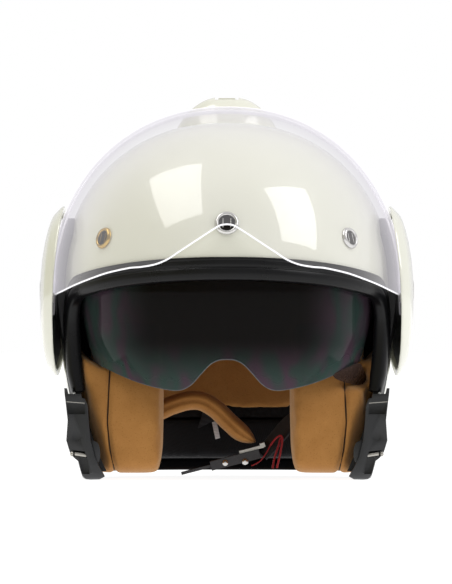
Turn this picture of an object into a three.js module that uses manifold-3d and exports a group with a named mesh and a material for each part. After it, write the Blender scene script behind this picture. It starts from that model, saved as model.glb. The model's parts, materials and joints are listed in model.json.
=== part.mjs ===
// Open-face motorcycle helmet of the convertible kind, standing on its lower rim.
// Units are millimetres. X is the helmet's left-right axis, -Y is its face, +Z is up, and Z = 0 is the table.
// The shape is worked out about the visor axle, which crosses the helmet at Y = 0 and PIVOT_HEIGHT;
// the whole group then moves by BACK_SHIFT, so that the origin is the middle of the base.
import * as THREE from 'three';
import { mergeVertices } from 'three/addons/utils/BufferGeometryUtils.js';
import { LoftGeometry } from 'three/addons/geometries/LoftGeometry.js';
import Module from 'manifold-3d';

const wasm = await Module();
wasm.setup();

// ---------------------------------------------------------------- driving dimensions
const PIVOT_HEIGHT = 133; // visor axle above the table
const BACK_SHIFT = -16.49; // brings the middle of the length over the origin
const HALF_WIDTH = 118; // painted shell at the axle
const CROWN_RISE = 120; // axle to the top of the shell
const FRONT_REACH = 138; // section centre to the brow
const REAR_REACH = 152; // section centre to the back of the head
const CENTRE_SETBACK = 12; // section centre behind the axle
const ROUNDNESS = 2.15; // power of the shell's superellipse
const JAW_SQUARENESS = 0.35; // added to that power by the table
const RIM_HEIGHT = 6; // cut edge of the shell above the table

const SHELL_WALL = 4;
const LINER_OUTER = 5; // insets of the layers from the painted surface
const LINER_INNER = 34;
const CHEEK_POCKET = 8.6;
const PAD_OUTER = 9.4;
const COMFORT_OUTER = 34.8;
const COMFORT_INNER = 41;
const CHEEK_GAP = 46; // half of the gap between the cheek pads
const PAD_REAR = 31.5;

const VISOR = { halfWidth: 125, reach: 136.5, rise: 131, power: 2.1, flare: 0.6, wall: 2.2 };
const SUN_VISOR = { halfWidth: 106, reach: 115, rise: 115, power: 2.2, flare: 0, wall: 2 };
const SUN_GAP = 3.4; // room kept under the sun visor in the foam

const BUSH_RADIUS = 8;
const POD_RISE = 60; // side pod above and below the axle
const POD_TAIL = 84; // side pod behind the axle
const POD_NOSE = 52; // side pod in front of the axle
const POD_OUT = 7.4; // pod's outside beyond the visor's
const STRAP_AXIS = { y: 46, z: 47 };
const STRAP_WIDTH = 22;
const FLAP = 0.4; // gap between parts that touch

const FORM_COLUMNS = 36;
const UPPER_ROWS = 9;
const LOWER_ROWS = 4;
const FORM_FLOOR = -28;

// ---------------------------------------------------------------- finishes
const finish = (color, roughness, metalness = 0, more = {}) =>
  new THREE.MeshStandardMaterial({ color, roughness, metalness, ...more });
const PEARL = finish(0xe4e4d8, 0.18);
const BLACK_FOAM = finish(0x161617, 0.9);
const BLACK_RUBBER = finish(0x1c1c1e, 0.55);
const BLACK_PLASTIC = finish(0x2b2b2e, 0.5);
const TAN_SUEDE = finish(0xa8733c, 0.95);
const BLACK_FABRIC = finish(0x121213, 0.95);
const CLEAR = finish(0xeae8f0, 0.05, 0, { transparent: true, opacity: 0.25 });
const SMOKE = finish(0x2a2a2c, 0.08, 0, { transparent: true, opacity: 0.8 });
const CHROME = finish(0xd8d8d6, 0.15, 1);
const STEEL = finish(0xb9b7b0, 0.35, 1);
const BRASS = finish(0xb48a3a, 0.25, 1);
const WEBBING = finish(0x18181a, 0.9);
const RED_TAB = finish(0xa80f16, 0.5);

// ---------------------------------------------------------------- solids and cuts
function geometryOf(body) {
  const { vertProperties, triVerts } = body.getMesh();
  const geometry = new THREE.BufferGeometry();
  geometry.setAttribute('position', new THREE.BufferAttribute(vertProperties, 3));
  geometry.setIndex(new THREE.BufferAttribute(triVerts, 1));
  geometry.computeVertexNormals();
  return geometry;
}

function solid(geometry, matrix) {
  const bare = new THREE.BufferGeometry().copy(geometry);
  bare.deleteAttribute('normal');
  bare.deleteAttribute('uv');
  if (matrix) bare.applyMatrix4(matrix);
  const merged = mergeVertices(bare, 1e-3);
  const vertProperties = merged.attributes.position.array;
  const triVerts = new Uint32Array(merged.index.array);
  const made = new wasm.Manifold(new wasm.Mesh({ numProp: 3, vertProperties, triVerts }));
  if (made.volume() > 0) return made;
  for (let i = 0; i < triVerts.length; i += 3) {
    [triVerts[i + 1], triVerts[i + 2]] = [triVerts[i + 2], triVerts[i + 1]];
  }
  return new wasm.Manifold(new wasm.Mesh({ numProp: 3, vertProperties, triVerts }));
}

// Skins a row of rings, turned so that each ring winds towards the next one.
function loft(rings, caps = {}) {
  const half = Math.floor(rings.length / 2);
  const middle = (ring) => ring.reduce((sum, p) => sum.add(p), new THREE.Vector3()).divideScalar(ring.length);
  const centre = middle(rings[half]);
  const ahead = middle(rings[half]).sub(middle(rings[half - 1]));
  const facing = rings[half].reduce((sum, p, i, ring) => {
    const next = ring[(i + 1) % ring.length].clone().sub(centre);
    return sum.add(p.clone().sub(centre).cross(next));
  }, new THREE.Vector3());
  const turned = facing.dot(ahead) < 0 ? rings.map((ring) => [...ring].reverse()) : rings;
  return solid(new LoftGeometry(turned, caps));
}

const at = (x, y, z) => new THREE.Matrix4().makeTranslation(x, y, z);
const axes = (a, b, c) => new THREE.Matrix4().makeBasis(a, b, c);
const X = new THREE.Vector3(1, 0, 0);
const Y = new THREE.Vector3(0, 1, 0);
const Z = new THREE.Vector3(0, 0, 1);

function block([x0, x1], [y0, y1], [z0, z1]) {
  const box = new THREE.BoxGeometry(x1 - x0, y1 - y0, z1 - z0);
  return solid(box, at((x0 + x1) / 2, (y0 + y1) / 2, (z0 + z1) / 2));
}

// A rod along X from x0 to x1.
function rod(radius, x0, x1, y, z, sides = 24) {
  const cylinder = new THREE.CylinderGeometry(radius, radius, Math.abs(x1 - x0), sides);
  return solid(cylinder, at((x0 + x1) / 2, y, z).multiply(axes(Y, X, Z.clone().negate())));
}

function prism(shape, depth, matrix) {
  return solid(new THREE.ExtrudeGeometry(shape, { depth, bevelEnabled: false, curveSegments: 8 }), matrix);
}

const outline = (points) => new THREE.Shape(points.map(([a, b]) => new THREE.Vector2(a, b)));

// An outline seen from the side, as (y, z), run along X.
const sideCut = (shape, x0 = -160, x1 = 160) => prism(shape, x1 - x0, at(x0, 0, 0).multiply(axes(Y, Z, X)));

// An outline seen from the front, as (x, z), run along Y.
const frontCut = (shape, y0, y1) =>
  prism(shape, y1 - y0, at(0, y1, 0).multiply(axes(X, Z, Y.clone().negate())));

const joined = (first, ...others) => others.reduce((sum, one) => sum.add(one), first);
const mirrored = (body) => {
  const geometry = geometryOf(body);
  return solid(geometry, new THREE.Matrix4().makeScale(-1, 1, 1));
};

// ---------------------------------------------------------------- the helmet's own form
const power = (value, exponent) => Math.sign(value) * Math.abs(value) ** exponent;

// Half width, front reach and rear reach of the section at height z.
function sectionAt(z, inset) {
  let spread = 1;
  let forward = 1;
  let back = 1;
  let roundness = ROUNDNESS;
  if (z >= PIVOT_HEIGHT) {
    const share = Math.min(1, (z - PIVOT_HEIGHT) / (CROWN_RISE - inset));
    spread = forward = back = (1 - share ** ROUNDNESS) ** (1 / ROUNDNESS);
  } else {
    const drop = (PIVOT_HEIGHT - z) / PIVOT_HEIGHT;
    spread = 1 - 0.165 * drop ** 2.5;
    forward = 1 - 0.22 * drop ** 2;
    back = 1 - 0.27 * drop ** 1.8;
    roundness += JAW_SQUARENESS * drop;
  }
  return {
    halfWidth: (HALF_WIDTH - inset) * spread,
    front: (FRONT_REACH - inset) * forward,
    rear: (REAR_REACH - inset) * back,
    roundness,
  };
}

function formRing(z, inset) {
  const { halfWidth, front, rear, roundness } = sectionAt(z, inset);
  return Array.from({ length: FORM_COLUMNS }, (_, i) => {
    const turn = (i / FORM_COLUMNS) * 2 * Math.PI;
    const reach = Math.cos(turn) > 0 ? front : rear;
    return new THREE.Vector3(
      halfWidth * power(Math.sin(turn), 2 / roundness),
      CENTRE_SETBACK - reach * power(Math.cos(turn), 2 / roundness),
      z,
    );
  });
}

// The closed form of the helmet, drawn in by an inset.
function helmetForm(inset) {
  const rings = [];
  for (let i = 0; i < LOWER_ROWS; i += 1) {
    rings.push(formRing(FORM_FLOOR + ((PIVOT_HEIGHT - FORM_FLOOR) * i) / LOWER_ROWS, inset));
  }
  for (let i = 0; i <= UPPER_ROWS; i += 1) {
    const climb = (i / UPPER_ROWS) * (Math.PI / 2);
    rings.push(formRing(PIVOT_HEIGHT + (CROWN_RISE - inset) * Math.sin(climb) ** (2 / ROUNDNESS), inset));
  }
  return loft(rings, { capStart: true });
}

// Zero on the form's surface, negative inside.
function formField(p, inset) {
  const lower = sectionAt(Math.min(p.z, PIVOT_HEIGHT), inset);
  const rise = Math.max(0, p.z - PIVOT_HEIGHT) / (CROWN_RISE - inset);
  const reach = p.y < CENTRE_SETBACK ? lower.front : lower.rear;
  return (
    (Math.abs(p.x) / lower.halfWidth) ** lower.roundness +
    (Math.abs(p.y - CENTRE_SETBACK) / reach) ** lower.roundness +
    rise ** ROUNDNESS -
    1
  );
}

function formNormal(p, inset) {
  const slope = (axis) => {
    const step = axis.clone().multiplyScalar(0.05);
    return formField(p.clone().add(step), inset) - formField(p.clone().sub(step), inset);
  };
  return new THREE.Vector3(slope(X), slope(Y), slope(Z)).normalize();
}

// Half width of the form at (y, z), or null outside it.
function formHalfWidth(y, z, inset) {
  const { halfWidth, front, rear, roundness } = sectionAt(z, inset);
  const share = 1 - (Math.abs(y - CENTRE_SETBACK) / (y < CENTRE_SETBACK ? front : rear)) ** roundness;
  return share < 0 ? null : halfWidth * share ** (1 / roundness);
}

// ---------------------------------------------------------------- visor-like bubbles, round about the axle
// Roundness at an angle above the forward direction: a flared bubble is fuller low down in front,
// so that the cheeks of the visor still clear the helmet once they have swung down beside it.
const roundnessAt = ({ power: least, flare }, climb) =>
  least + flare * ((1 + Math.cos(climb + Math.PI / 4)) / 2) ** 2;

function bubble(form, inset, rows = 18, columns = 44) {
  const rings = Array.from({ length: rows + 1 }, (_, i) => {
    const across = (i / rows - 0.5) * Math.PI;
    return Array.from({ length: columns }, (__, j) => {
      const climb = (j / columns) * 2 * Math.PI;
      const roundness = roundnessAt(form, climb);
      const share = Math.max(0, Math.cos(across)) ** (2 / roundness);
      return new THREE.Vector3(
        (form.halfWidth - inset) * power(Math.sin(across), 2 / roundness),
        -(form.reach - inset) * share * Math.cos(climb),
        PIVOT_HEIGHT + (form.rise - inset) * share * Math.sin(climb),
      );
    });
  });
  return loft(rings);
}

function bubbleHalfWidth(form, inset, y, z) {
  const forward = -y / (form.reach - inset);
  const up = (z - PIVOT_HEIGHT) / (form.rise - inset);
  const roundness = roundnessAt(form, Math.atan2(up, forward));
  return (form.halfWidth - inset) * (1 - Math.min(1, Math.hypot(forward, up)) ** roundness) ** (1 / roundness);
}

// ---------------------------------------------------------------- the face opening
// Seen from the side: along the brow, round the temple, and down to the jaw.
function openingEdge(shift = 0) {
  const path = new THREE.Path();
  path.moveTo(-150 + shift, 151.5 + shift);
  path.lineTo(-57 + shift, 134.1 + shift);
  path.quadraticCurveTo(-40 + shift, 130.9 + shift, -39 + shift, 112 + shift);
  path.bezierCurveTo(-38 + shift, 84, -44 + shift, 44, -60 + shift, -24);
  return path;
}

function openingCut(shift = 0) {
  const points = openingEdge(shift).getPoints(8).map(({ x, y }) => [x, y]);
  return sideCut(outline([...points, [-230, -24], [-230, 152 + shift]]));
}

// The same edge in space, from the helmet's right jaw over the brow to its left jaw.
function openingPath(inset, lowest, count) {
  const half = [];
  openingEdge().getSpacedPoints(900).forEach(({ x: y, y: z }) => {
    const across = formHalfWidth(y, z, inset);
    if (across !== null && z >= lowest) half.push(new THREE.Vector3(across, y, z));
  });
  half[0].x = 0;
  const whole = [...half.map((p) => new THREE.Vector3(-p.x, p.y, p.z)).reverse(), ...half.slice(1)];
  return evenly(whole, count);
}

// Points at equal steps along a polyline.
function evenly(points, count) {
  const curve = new THREE.CurvePath();
  for (let i = 1; i < points.length; i += 1) {
    if (points[i].distanceTo(points[i - 1]) > 1e-6) curve.add(new THREE.LineCurve3(points[i - 1], points[i]));
  }
  return Array.from({ length: count + 1 }, (_, i) => curve.getPointAt(i / count));
}

// Runs a section of (out, in) points along a path on the form: out from the surface, and in from the edge.
function edging(path, section, inset, inwardOf) {
  const rings = path.map((p, i) => {
    const along = path[Math.min(i + 1, path.length - 1)].clone().sub(path[Math.max(i - 1, 0)]).normalize();
    const out = formNormal(p, inset);
    const inward = along.clone().cross(out).normalize();
    if (inward.dot(inwardOf(p)) < 0) inward.negate();
    return section.map(([a, b]) => p.clone().addScaledVector(out, a).addScaledVector(inward, b));
  });
  return loft(rings, { capStart: true, capEnd: true });
}

// Lower edge of the smoked visor when it is down, as (x, height above the axle), from the middle outwards.
const SUN_EDGE = [
  [0, -47.6], [6, -48.4], [13, -53], [20, -61.5], [27, -67.5], [35, -69.5], [48, -68], [63, -63.5],
  [78, -58], [92, -51], [103, -42], [112, -30],
];
const bothSides = (points) => [...points.map(([x, z]) => [-x, z]).reverse(), ...points.slice(1)];

// ---------------------------------------------------------------- parts of the static helmet
const aboveRim = block([-200, 200], [-250, 250], [RIM_HEIGHT, 400]);

const paintedShell = () =>
  helmetForm(0).subtract(helmetForm(SHELL_WALL)).subtract(openingCut()).intersect(aboveRim);

// Space that the shell's wall fills, with a gap all round.
const shellRoom = () =>
  helmetForm(-FLAP)
    .subtract(helmetForm(SHELL_WALL + FLAP))
    .subtract(openingCut(-FLAP))
    .intersect(block([-200, 200], [-250, 250], [RIM_HEIGHT - FLAP, 400]));

const cheekPocket = () =>
  helmetForm(CHEEK_POCKET).intersect(block([-160, 160], [-140, PAD_REAR + 1], [-20, 113]));

const sunVisorRoom = () =>
  block([-160, 160], [-160, 14], [PIVOT_HEIGHT - 76, PIVOT_HEIGHT + 106])
    .subtract(bubble(SUN_VISOR, SUN_VISOR.wall + SUN_GAP));

function foamLiner() {
  const below = sideCut(outline([[-160, -40], [200, -40], [200, 42], [60, 42], [60, 19], [-160, 19]]));
  const rivetHoles = rod(4, -160, 160, STRAP_AXIS.y, STRAP_AXIS.z, 12);
  return helmetForm(LINER_OUTER)
    .subtract(helmetForm(LINER_INNER))
    .subtract(openingCut(9))
    .subtract(cheekPocket())
    .subtract(sunVisorRoom())
    .subtract(below)
    .subtract(rivetHoles);
}

function crownLiner() {
  const side = outline([[-120, 158], [-44, 140], [-30, 122], [33.5, 115], [36, 64], [74, 51], [160, 46], [160, 260], [-120, 260]]);
  return helmetForm(COMFORT_OUTER).subtract(helmetForm(COMFORT_INNER)).intersect(sideCut(side));
}

function cheekPad(side) {
  const profile = outline([[-56, 2.5], [12, 2.5], [PAD_REAR, 14], [PAD_REAR, 112], [-26, 112], [-37, 100], [-46, 80], [-55, 60], [-60, 40]]);
  const reach = side > 0 ? [CHEEK_GAP, 150] : [-150, -CHEEK_GAP];
  const lowered = outline([...bothSides(SUN_EDGE), [130, 10], [130, 90], [-130, 90], [-130, 10]]);
  const tabPath = block([70, 99], [-160, 60], [PIVOT_HEIGHT - 71, PIVOT_HEIGHT - 30]);
  const visorSweep = frontCut(lowered, -160, 60).translate([0, 0, PIVOT_HEIGHT - 4]).add(tabPath)
    .subtract(bubble(SUN_VISOR, SUN_VISOR.wall + 2));
  return helmetForm(PAD_OUTER)
    .intersect(sideCut(profile))
    .intersect(block(reach, [-160, 160], [0, 200]))
    .subtract(visorSweep);
}

function neckRoll() {
  const profile = outline([[62, 12], [160, 12], [160, 41], [62, 41]]);
  return helmetForm(LINER_OUTER + 2).subtract(helmetForm(LINER_INNER)).intersect(sideCut(profile));
}

// Rubber lip that grips the edge of the face opening: a flat flange above, and a round rib along the edge.
function faceTrim() {
  const lip = [
    [2.9, 10], [4, 9.4], [4.4, 4.2], [3.7, 3], [5.4, 1.6], [5.4, -2.8], [3.4, -5.6],
    [-3.4, -5.6], [-5.8, -3.4], [-5.8, 3.6], [-3.6, 4], [-3.5, -2.3], [2.9, -2.3],
  ];
  return edging(openingPath(SHELL_WALL / 2, 65, 44), lip, SHELL_WALL / 2, (p) =>
    new THREE.Vector3(p.x * 0.2, p.y + 120, p.z - 92));
}

// Rubber along the lower rim, flat underneath, from jaw to jaw round the nape.
function rimTrim() {
  const inset = SHELL_WALL / 2;
  const ring = [];
  for (let i = 0; i <= 400; i += 1) {
    const turn = (i / 400) * 2 * Math.PI - Math.PI;
    const { halfWidth, front, rear, roundness } = sectionAt(RIM_HEIGHT, inset);
    const reach = Math.cos(turn) < 0 ? front : rear;
    const y = CENTRE_SETBACK + reach * power(Math.cos(turn), 2 / roundness);
    if (y > -33) ring.push(new THREE.Vector3(halfWidth * power(Math.sin(turn), 2 / roundness), y, RIM_HEIGHT));
  }
  const lip = [
    [2.9, 9], [4.6, 8.2], [4.9, -3.5], [4.4, -14], [-5.4, -14], [-5.6, 3.6], [-3.2, 4], [-3, -1.6], [2.9, -1.6],
  ];
  return edging(evenly(ring, 36), lip, inset, () => Z).intersect(block([-200, 200], [-200, 200], [0, 40]));
}

// ---------------------------------------------------------------- visors
const SIDE = (points) => sideCut(outline(points.map(([y, z]) => [y, z + PIVOT_HEIGHT])));

// Clear visor, pushed up over the crown: its lower edge peaks in the middle, where the nose notch is.
function clearVisor() {
  const skin = bubble(VISOR, 0).subtract(bubble(VISOR, VISOR.wall));
  const swept = SIDE([[8, -2], [-200, -2], [-200, 200], [36, 200]]);
  const ear = rod(17, -140, 140, 0, PIVOT_HEIGHT);
  const half = [[0, 50], [7, 47.5], [18, 38], [30, 29], [42, 24], [54, 20.5], [72, 16], [89, 11], [105, 5], [118, -1], [130, -6]];
  const under = outline([...bothSides(half), [130, -90], [-130, -90]].map(([x, z]) => [x, z + PIVOT_HEIGHT]));
  const axleHole = rod(BUSH_RADIUS + FLAP, -140, 140, 0, PIVOT_HEIGHT);
  return skin.intersect(swept.subtract(frontCut(under, -170, -18)).add(ear)).subtract(axleHole);
}

// Smoked visor inside the opening, pulled down by the tab beside its left lobe.
function sunVisor() {
  const skin = bubble(SUN_VISOR, 0, 16, 32).subtract(bubble(SUN_VISOR, SUN_VISOR.wall, 16, 32));
  const lens = new THREE.Shape();
  lens.moveTo(-112, 20);
  bothSides(SUN_EDGE).forEach(([x, z]) => lens.lineTo(x, z));
  lens.lineTo(112, 20);
  const tab = outline([[74, -56], [77, -61], [84, -66], [92, -66.5], [95, -62], [93, -48]]);
  const front = frontCut(lens, -140, -34).translate([0, 0, PIVOT_HEIGHT]);
  const pull = frontCut(tab, -140, -20).translate([0, 0, PIVOT_HEIGHT]);
  const arm = SIDE([[-37, 20], [-37, -22], [-6, -9], [6, -9], [6, 9], [-6, 9]]);
  const end = rod(10, -120, 120, 0, PIVOT_HEIGHT);
  const pinHole = rod(4.5, -120, 120, 0, PIVOT_HEIGHT, 16);
  return skin.intersect(joined(front, pull, arm, end)).subtract(pinHole);
}

// ---------------------------------------------------------------- side pods and the visor axle
// Teardrop seen from the side: a round front about the axle and a long tail.
function podOutline(share, count = 30) {
  return Array.from({ length: count }, (_, i) => {
    const turn = (i / count) * 2 * Math.PI;
    const reach = Math.cos(turn) > 0 ? POD_TAIL : POD_NOSE;
    const droop = Math.cos(turn) > 0 ? 1 - 0.3 * Math.cos(turn) ** 2 : 1;
    return [share * reach * Math.cos(turn), share * POD_RISE * droop * Math.sin(turn)];
  });
}

// A closed shield over the visor's ear, as rings of (outline share, height off the visor, height off the shell),
// from the outer middle round the rim to the inner middle. Its tail lies down on the shell.
function shield(rings) {
  const sections = rings.map(([share, offVisor, offShell]) =>
    podOutline(share).map(([y, up]) => {
      const z = PIVOT_HEIGHT + up;
      const across = Math.max(bubbleHalfWidth(VISOR, -offVisor, y, z), formHalfWidth(y, z, -offShell));
      return new THREE.Vector3(across, y, z);
    }));
  return loft(sections);
}

const podCover = () =>
  shield([
    [0, POD_OUT, 4], [0.4, POD_OUT, 4], [0.7, POD_OUT, 4], [0.86, POD_OUT - 0.6, 4], [0.95, POD_OUT - 2.2, 3.6],
    [1, POD_OUT - 4.4, 2.4], [0.985, 1.7, 0.8], [0.95, 1.7, 0.8], [0.915, 3.8, 1], [0.8, 5.1, 1.2], [0.4, 5.2, 1.2], [0, 5.2, 1.2],
  ]).subtract(rod(9.4, 100, 160, 0, PIVOT_HEIGHT));

const podLiner = () =>
  shield([[0, 3.4, 0], [0.45, 3.4, 0], [0.86, 3.4, 0], [0.89, 2.6, 0], [0.89, 1.6, 0], [0.45, 1.6, 0], [0, 1.6, 0]])
    .subtract(helmetForm(-FLAP)).subtract(block([90, 160], [POD_TAIL * 0.5, 120], [0, 260]));

// Black plate between the shell and the visor's ear.
function pivotPlate() {
  const plate = sideCut(outline(podOutline(0.86, 28).map(([y, up]) => [y, up + PIVOT_HEIGHT])), 104, 150);
  return plate
    .intersect(bubble({ ...VISOR, flare: 0 }, VISOR.wall + 0.8))
    .intersect(block([104, 150], [-28.4, POD_TAIL * 0.6], [0, 260]))
    .subtract(helmetForm(-FLAP));
}

// ---------------------------------------------------------------- small metal parts
// A press stud on the brow: a ringed base with a hollow middle, standing on the paint.
function browSnap(x, z) {
  const profile = [[0, 0], [7.4, 0], [7.8, 0.5], [7.2, 1.5], [6, 2], [5.3, 1.6], [4.9, 0.7], [0, 0.7]];
  const stud = new THREE.LatheGeometry(profile.map(([r, h]) => new THREE.Vector2(r, h)), 18);
  let y = CENTRE_SETBACK - sectionAt(z, 0).front;
  while (formField(new THREE.Vector3(x, y, z), 0) > 0) y += 0.05;
  const foot = new THREE.Vector3(x, y, z);
  const out = formNormal(foot, 0);
  const turn = new THREE.Matrix4().makeRotationFromQuaternion(new THREE.Quaternion().setFromUnitVectors(Y, out));
  foot.addScaledVector(out, 0.3);
  return solid(stud, at(foot.x, foot.y, foot.z).multiply(turn));
}

function pivotScrew() {
  const inner = bubbleHalfWidth(VISOR, -3.4, 0, PIVOT_HEIGHT) + FLAP;
  const slot = block([inner + 3, 150], [-6, 6], [PIVOT_HEIGHT - 0.9, PIVOT_HEIGHT + 0.9]);
  return rod(9, inner, VISOR.halfWidth + POD_OUT + 0.4, 0, PIVOT_HEIGHT, 32).subtract(slot);
}

const pivotBush = () => rod(BUSH_RADIUS, VISOR.halfWidth - VISOR.wall - 0.3, VISOR.halfWidth + 0.6, 0, PIVOT_HEIGHT)
  .subtract(rod(3, 100, 160, 0, PIVOT_HEIGHT, 16));

const sunVisorPin = () => rod(4, SUN_VISOR.halfWidth - 4.4, HALF_WIDTH - SHELL_WALL - 1.2, 0, PIVOT_HEIGHT, 16);

// ---------------------------------------------------------------- jaw catches
// Block at the front of each jaw, seen from the front, with the steel bar that a chin guard's hook closes on.
function jawCatch() {
  const face = outline([
    [116, 63], [115.5, 56], [110, 46], [111, 34], [112.5, 27], [110, 18], [105, 12], [100, 1],
    [90, 0.4], [87, 3], [89.5, 8], [92.3, 14], [95.5, 26], [97, 38], [98.3, 54], [102, 59], [102, 63],
  ]);
  const pocket = block([97.5, 105], [-90, -59], [6, 16]);
  return frontCut(face, -69, -43)
    .subtract(shellRoom())
    .subtract(pocket)
    .subtract(catchBarHole());
}

const catchBarHole = () => rod(2.1, 92.5, 112, -65, 18.6, 12);
const catchBar = () => rod(1.7, 94.5, 110, -65, 18.6, 12);

// Rounded tab that stands inside each catch.
function catchTab() {
  const tab = outline([[95, 27.6], [91.4, 26.4], [89.4, 23], [88.9, 18], [90, 13.6], [91.4, 13.4]]);
  return frontCut(tab, -66.5, -62.5);
}

// ---------------------------------------------------------------- crown vent
const VENT = { front: 23, rear: 104, top: 271.6 };

function ventSection(y, lift = 0) {
  const share = (y - VENT.front) / (VENT.rear - VENT.front);
  const rise = Math.sin(Math.min(1, share / 0.36) * (Math.PI / 2)) ** 1.3;
  const fall = share > 0.36 ? ((share - 0.36) / 0.64) ** 1.6 : 0;
  const top = 249 + (VENT.top - 249) * rise - 20 * fall + lift;
  const half = [[0, 0], [9, 0.4], [17, 3], [25, 8.5], [31, 15], [37, 26], [40, 44]];
  const right = half.map(([x, drop]) => new THREE.Vector3(x * (0.72 + 0.28 * rise) * (1 - 0.12 * fall), y, top - drop));
  return [...right, ...right.slice(1).reverse().map((p) => new THREE.Vector3(-p.x, p.y, p.z))];
}

function ventHood() {
  const stations = Array.from({ length: 13 }, (_, i) => VENT.front + ((VENT.rear - VENT.front) * i) / 12);
  const mouth = block([-17, 17], [VENT.rear - 16, 130], [239, 249.5]);
  const track = block([-8.4, 8.4], [46, 72], [265.7, 290]);
  return loft(stations.map((y) => ventSection(y)), { capStart: true, capEnd: true })
    .subtract(helmetForm(-FLAP)).subtract(mouth).subtract(track);
}

function ventGrille() {
  const frame = block([-16.6, 16.6], [VENT.rear - 12, VENT.rear - 9], [239.4, 249.1]);
  return [-12, -6, 0, 6, 12].reduce(
    (bars, x) => bars.subtract(block([x - 2, x + 2], [0, 200], [241, 247.6])), frame);
}

const ventSlider = () =>
  joined(block([-8, 8], [48, 64], [266.2, 269.6]), block([-6, 6], [54.5, 57.5], [269, 271]));

// ---------------------------------------------------------------- chin strap, tucked up inside
// A flat band: its middle line seen from the front, its thickness, and its width along Y.
function band(points, thickness, width, y = STRAP_AXIS.y) {
  const line = new THREE.CatmullRomCurve3(points.map(([x, z]) => new THREE.Vector3(x, z, 0)));
  const rings = line.getSpacedPoints(14).map((p, i) => {
    const side = line.getTangentAt(i / 14);
    const up = new THREE.Vector3(-side.y, 0, side.x).normalize();
    const half = [thickness / 2, width / 2];
    return [[1, 1], [1, -1], [-1, -1], [-1, 1]].map(([a, b]) =>
      new THREE.Vector3(p.x + up.x * a * half[0], y + b * half[1], p.y + up.z * a * half[0]));
  });
  return loft(rings, { capStart: true, capEnd: true });
}

const onStrap = (x, z, lean) => at(x, STRAP_AXIS.y, z).multiply(new THREE.Matrix4().makeRotationY(lean));
const slab = (length, width, thickness, matrix) => solid(new THREE.BoxGeometry(length, width, thickness), matrix);

const strapSleeve = () =>
  band([[-43.4, 54.5], [-34, 57.5], [-22, 56.5], [-10, 50], [0, 41], [9, 33], [18.5, 27]], 10, STRAP_WIDTH + 5);
const webbingRight = () => band([[-69, 47], [-61, 47.2], [-53, 49], [-46, 52]], 2.4, STRAP_WIDTH);
const webbingLeft = () =>
  band([[24.6, 16.4], [31, 22.5], [38, 31], [46, 39.5], [56, 45], [69, 47]], 2.4, STRAP_WIDTH);

// Ratchet buckle: a housing, the toothed tongue that slides into it, and the lever that lets the tongue go.
const BUCKLE_LEAN = -0.25;
const buckleBody = () =>
  slab(36, 24, 6.6, onStrap(6, 12.4, BUCKLE_LEAN)).subtract(slab(24, 17, 2.8, onStrap(-6, 9.4, BUCKLE_LEAN)));
const ratchetTongue = () => {
  const teeth = [-4, -1, 2].map((x) => slab(1, 20, 1, onStrap(x - 6, x * 0.255 + 10.36, BUCKLE_LEAN)));
  return teeth.reduce((blade, tooth) => blade.subtract(tooth), slab(36, 16, 2, onStrap(-15, 7.1, BUCKLE_LEAN)));
};
const buckleLever = () => joined(
  slab(18, 15, 2, onStrap(17.6, 20, BUCKLE_LEAN)),
  slab(3.6, 29, 3, onStrap(25.4, 23.2, BUCKLE_LEAN).multiply(at(0, -7, 0))));
// Red ribbon folded through the lever, to pull it by.
const pullRibbon = () => band([[28, 24.4], [31.5, 27.6], [35, 29.4], [38, 27.4], [38.6, 21], [37.4, 13], [35.8, 6.8]], 1.4, 8, STRAP_AXIS.y - 17);

// Plate inside the foam that each end of the strap swings on, riveted through to the shell.
const strapAnchor = () => joined(
  rod(8, 69.5, 71, STRAP_AXIS.y, STRAP_AXIS.z, 20),
  rod(3.4, 70, 99.5, STRAP_AXIS.y, STRAP_AXIS.z, 12));

// ---------------------------------------------------------------- assembly
// The wearer's left is +X.
const helmet = new THREE.Group();

function add(name, body, material) {
  const mesh = new THREE.Mesh(geometryOf(body), material);
  mesh.name = name;
  helmet.add(mesh);
}

function addPair(name, body, material) {
  add(`${name}_left`, body, material);
  add(`${name}_right`, mirrored(body), material);
}

add('outer_shell', paintedShell(), PEARL);
add('foam_liner', foamLiner(), BLACK_FOAM);
add('face_trim', faceTrim(), BLACK_RUBBER);
add('rim_trim', rimTrim(), BLACK_RUBBER);
add('crown_liner', crownLiner(), TAN_SUEDE);
add('cheek_pad_left', cheekPad(1), TAN_SUEDE);
add('cheek_pad_right', cheekPad(-1), TAN_SUEDE);
add('neck_roll', neckRoll(), BLACK_FABRIC);

add('clear_visor', clearVisor(), CLEAR);
add('sun_visor', sunVisor(), SMOKE);
addPair('pivot_plate', pivotPlate(), BLACK_PLASTIC);
addPair('pivot_bush', pivotBush(), STEEL);
addPair('pod_liner', podLiner(), BLACK_PLASTIC);
addPair('pod_cover', podCover(), PEARL);
addPair('pivot_screw', pivotScrew(), STEEL);
addPair('sun_visor_pin', sunVisorPin(), STEEL);

add('brow_snap_centre', browSnap(0, 180), CHROME);
add('brow_snap_left', browSnap(86, 170), BRASS);
add('brow_snap_right', browSnap(-86, 170), BRASS);

add('crown_vent_hood', ventHood(), PEARL);
add('crown_vent_grille', ventGrille(), BLACK_PLASTIC);
add('crown_vent_slider', ventSlider(), BLACK_PLASTIC);

addPair('jaw_catch', jawCatch(), BLACK_PLASTIC);
addPair('catch_bar', catchBar(), STEEL);
addPair('catch_tab', catchTab(), BLACK_PLASTIC);

add('strap_sleeve', strapSleeve(), TAN_SUEDE);
add('strap_webbing_left', webbingLeft(), WEBBING);
add('strap_webbing_right', webbingRight(), WEBBING);
add('buckle_body', buckleBody(), BLACK_PLASTIC);
add('ratchet_tongue', ratchetTongue(), STEEL);
add('buckle_lever', buckleLever(), STEEL);
add('pull_ribbon', pullRibbon(), RED_TAB);
addPair('strap_anchor', strapAnchor(), STEEL);

helmet.position.y = BACK_SHIFT;
export default helmet;
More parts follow.
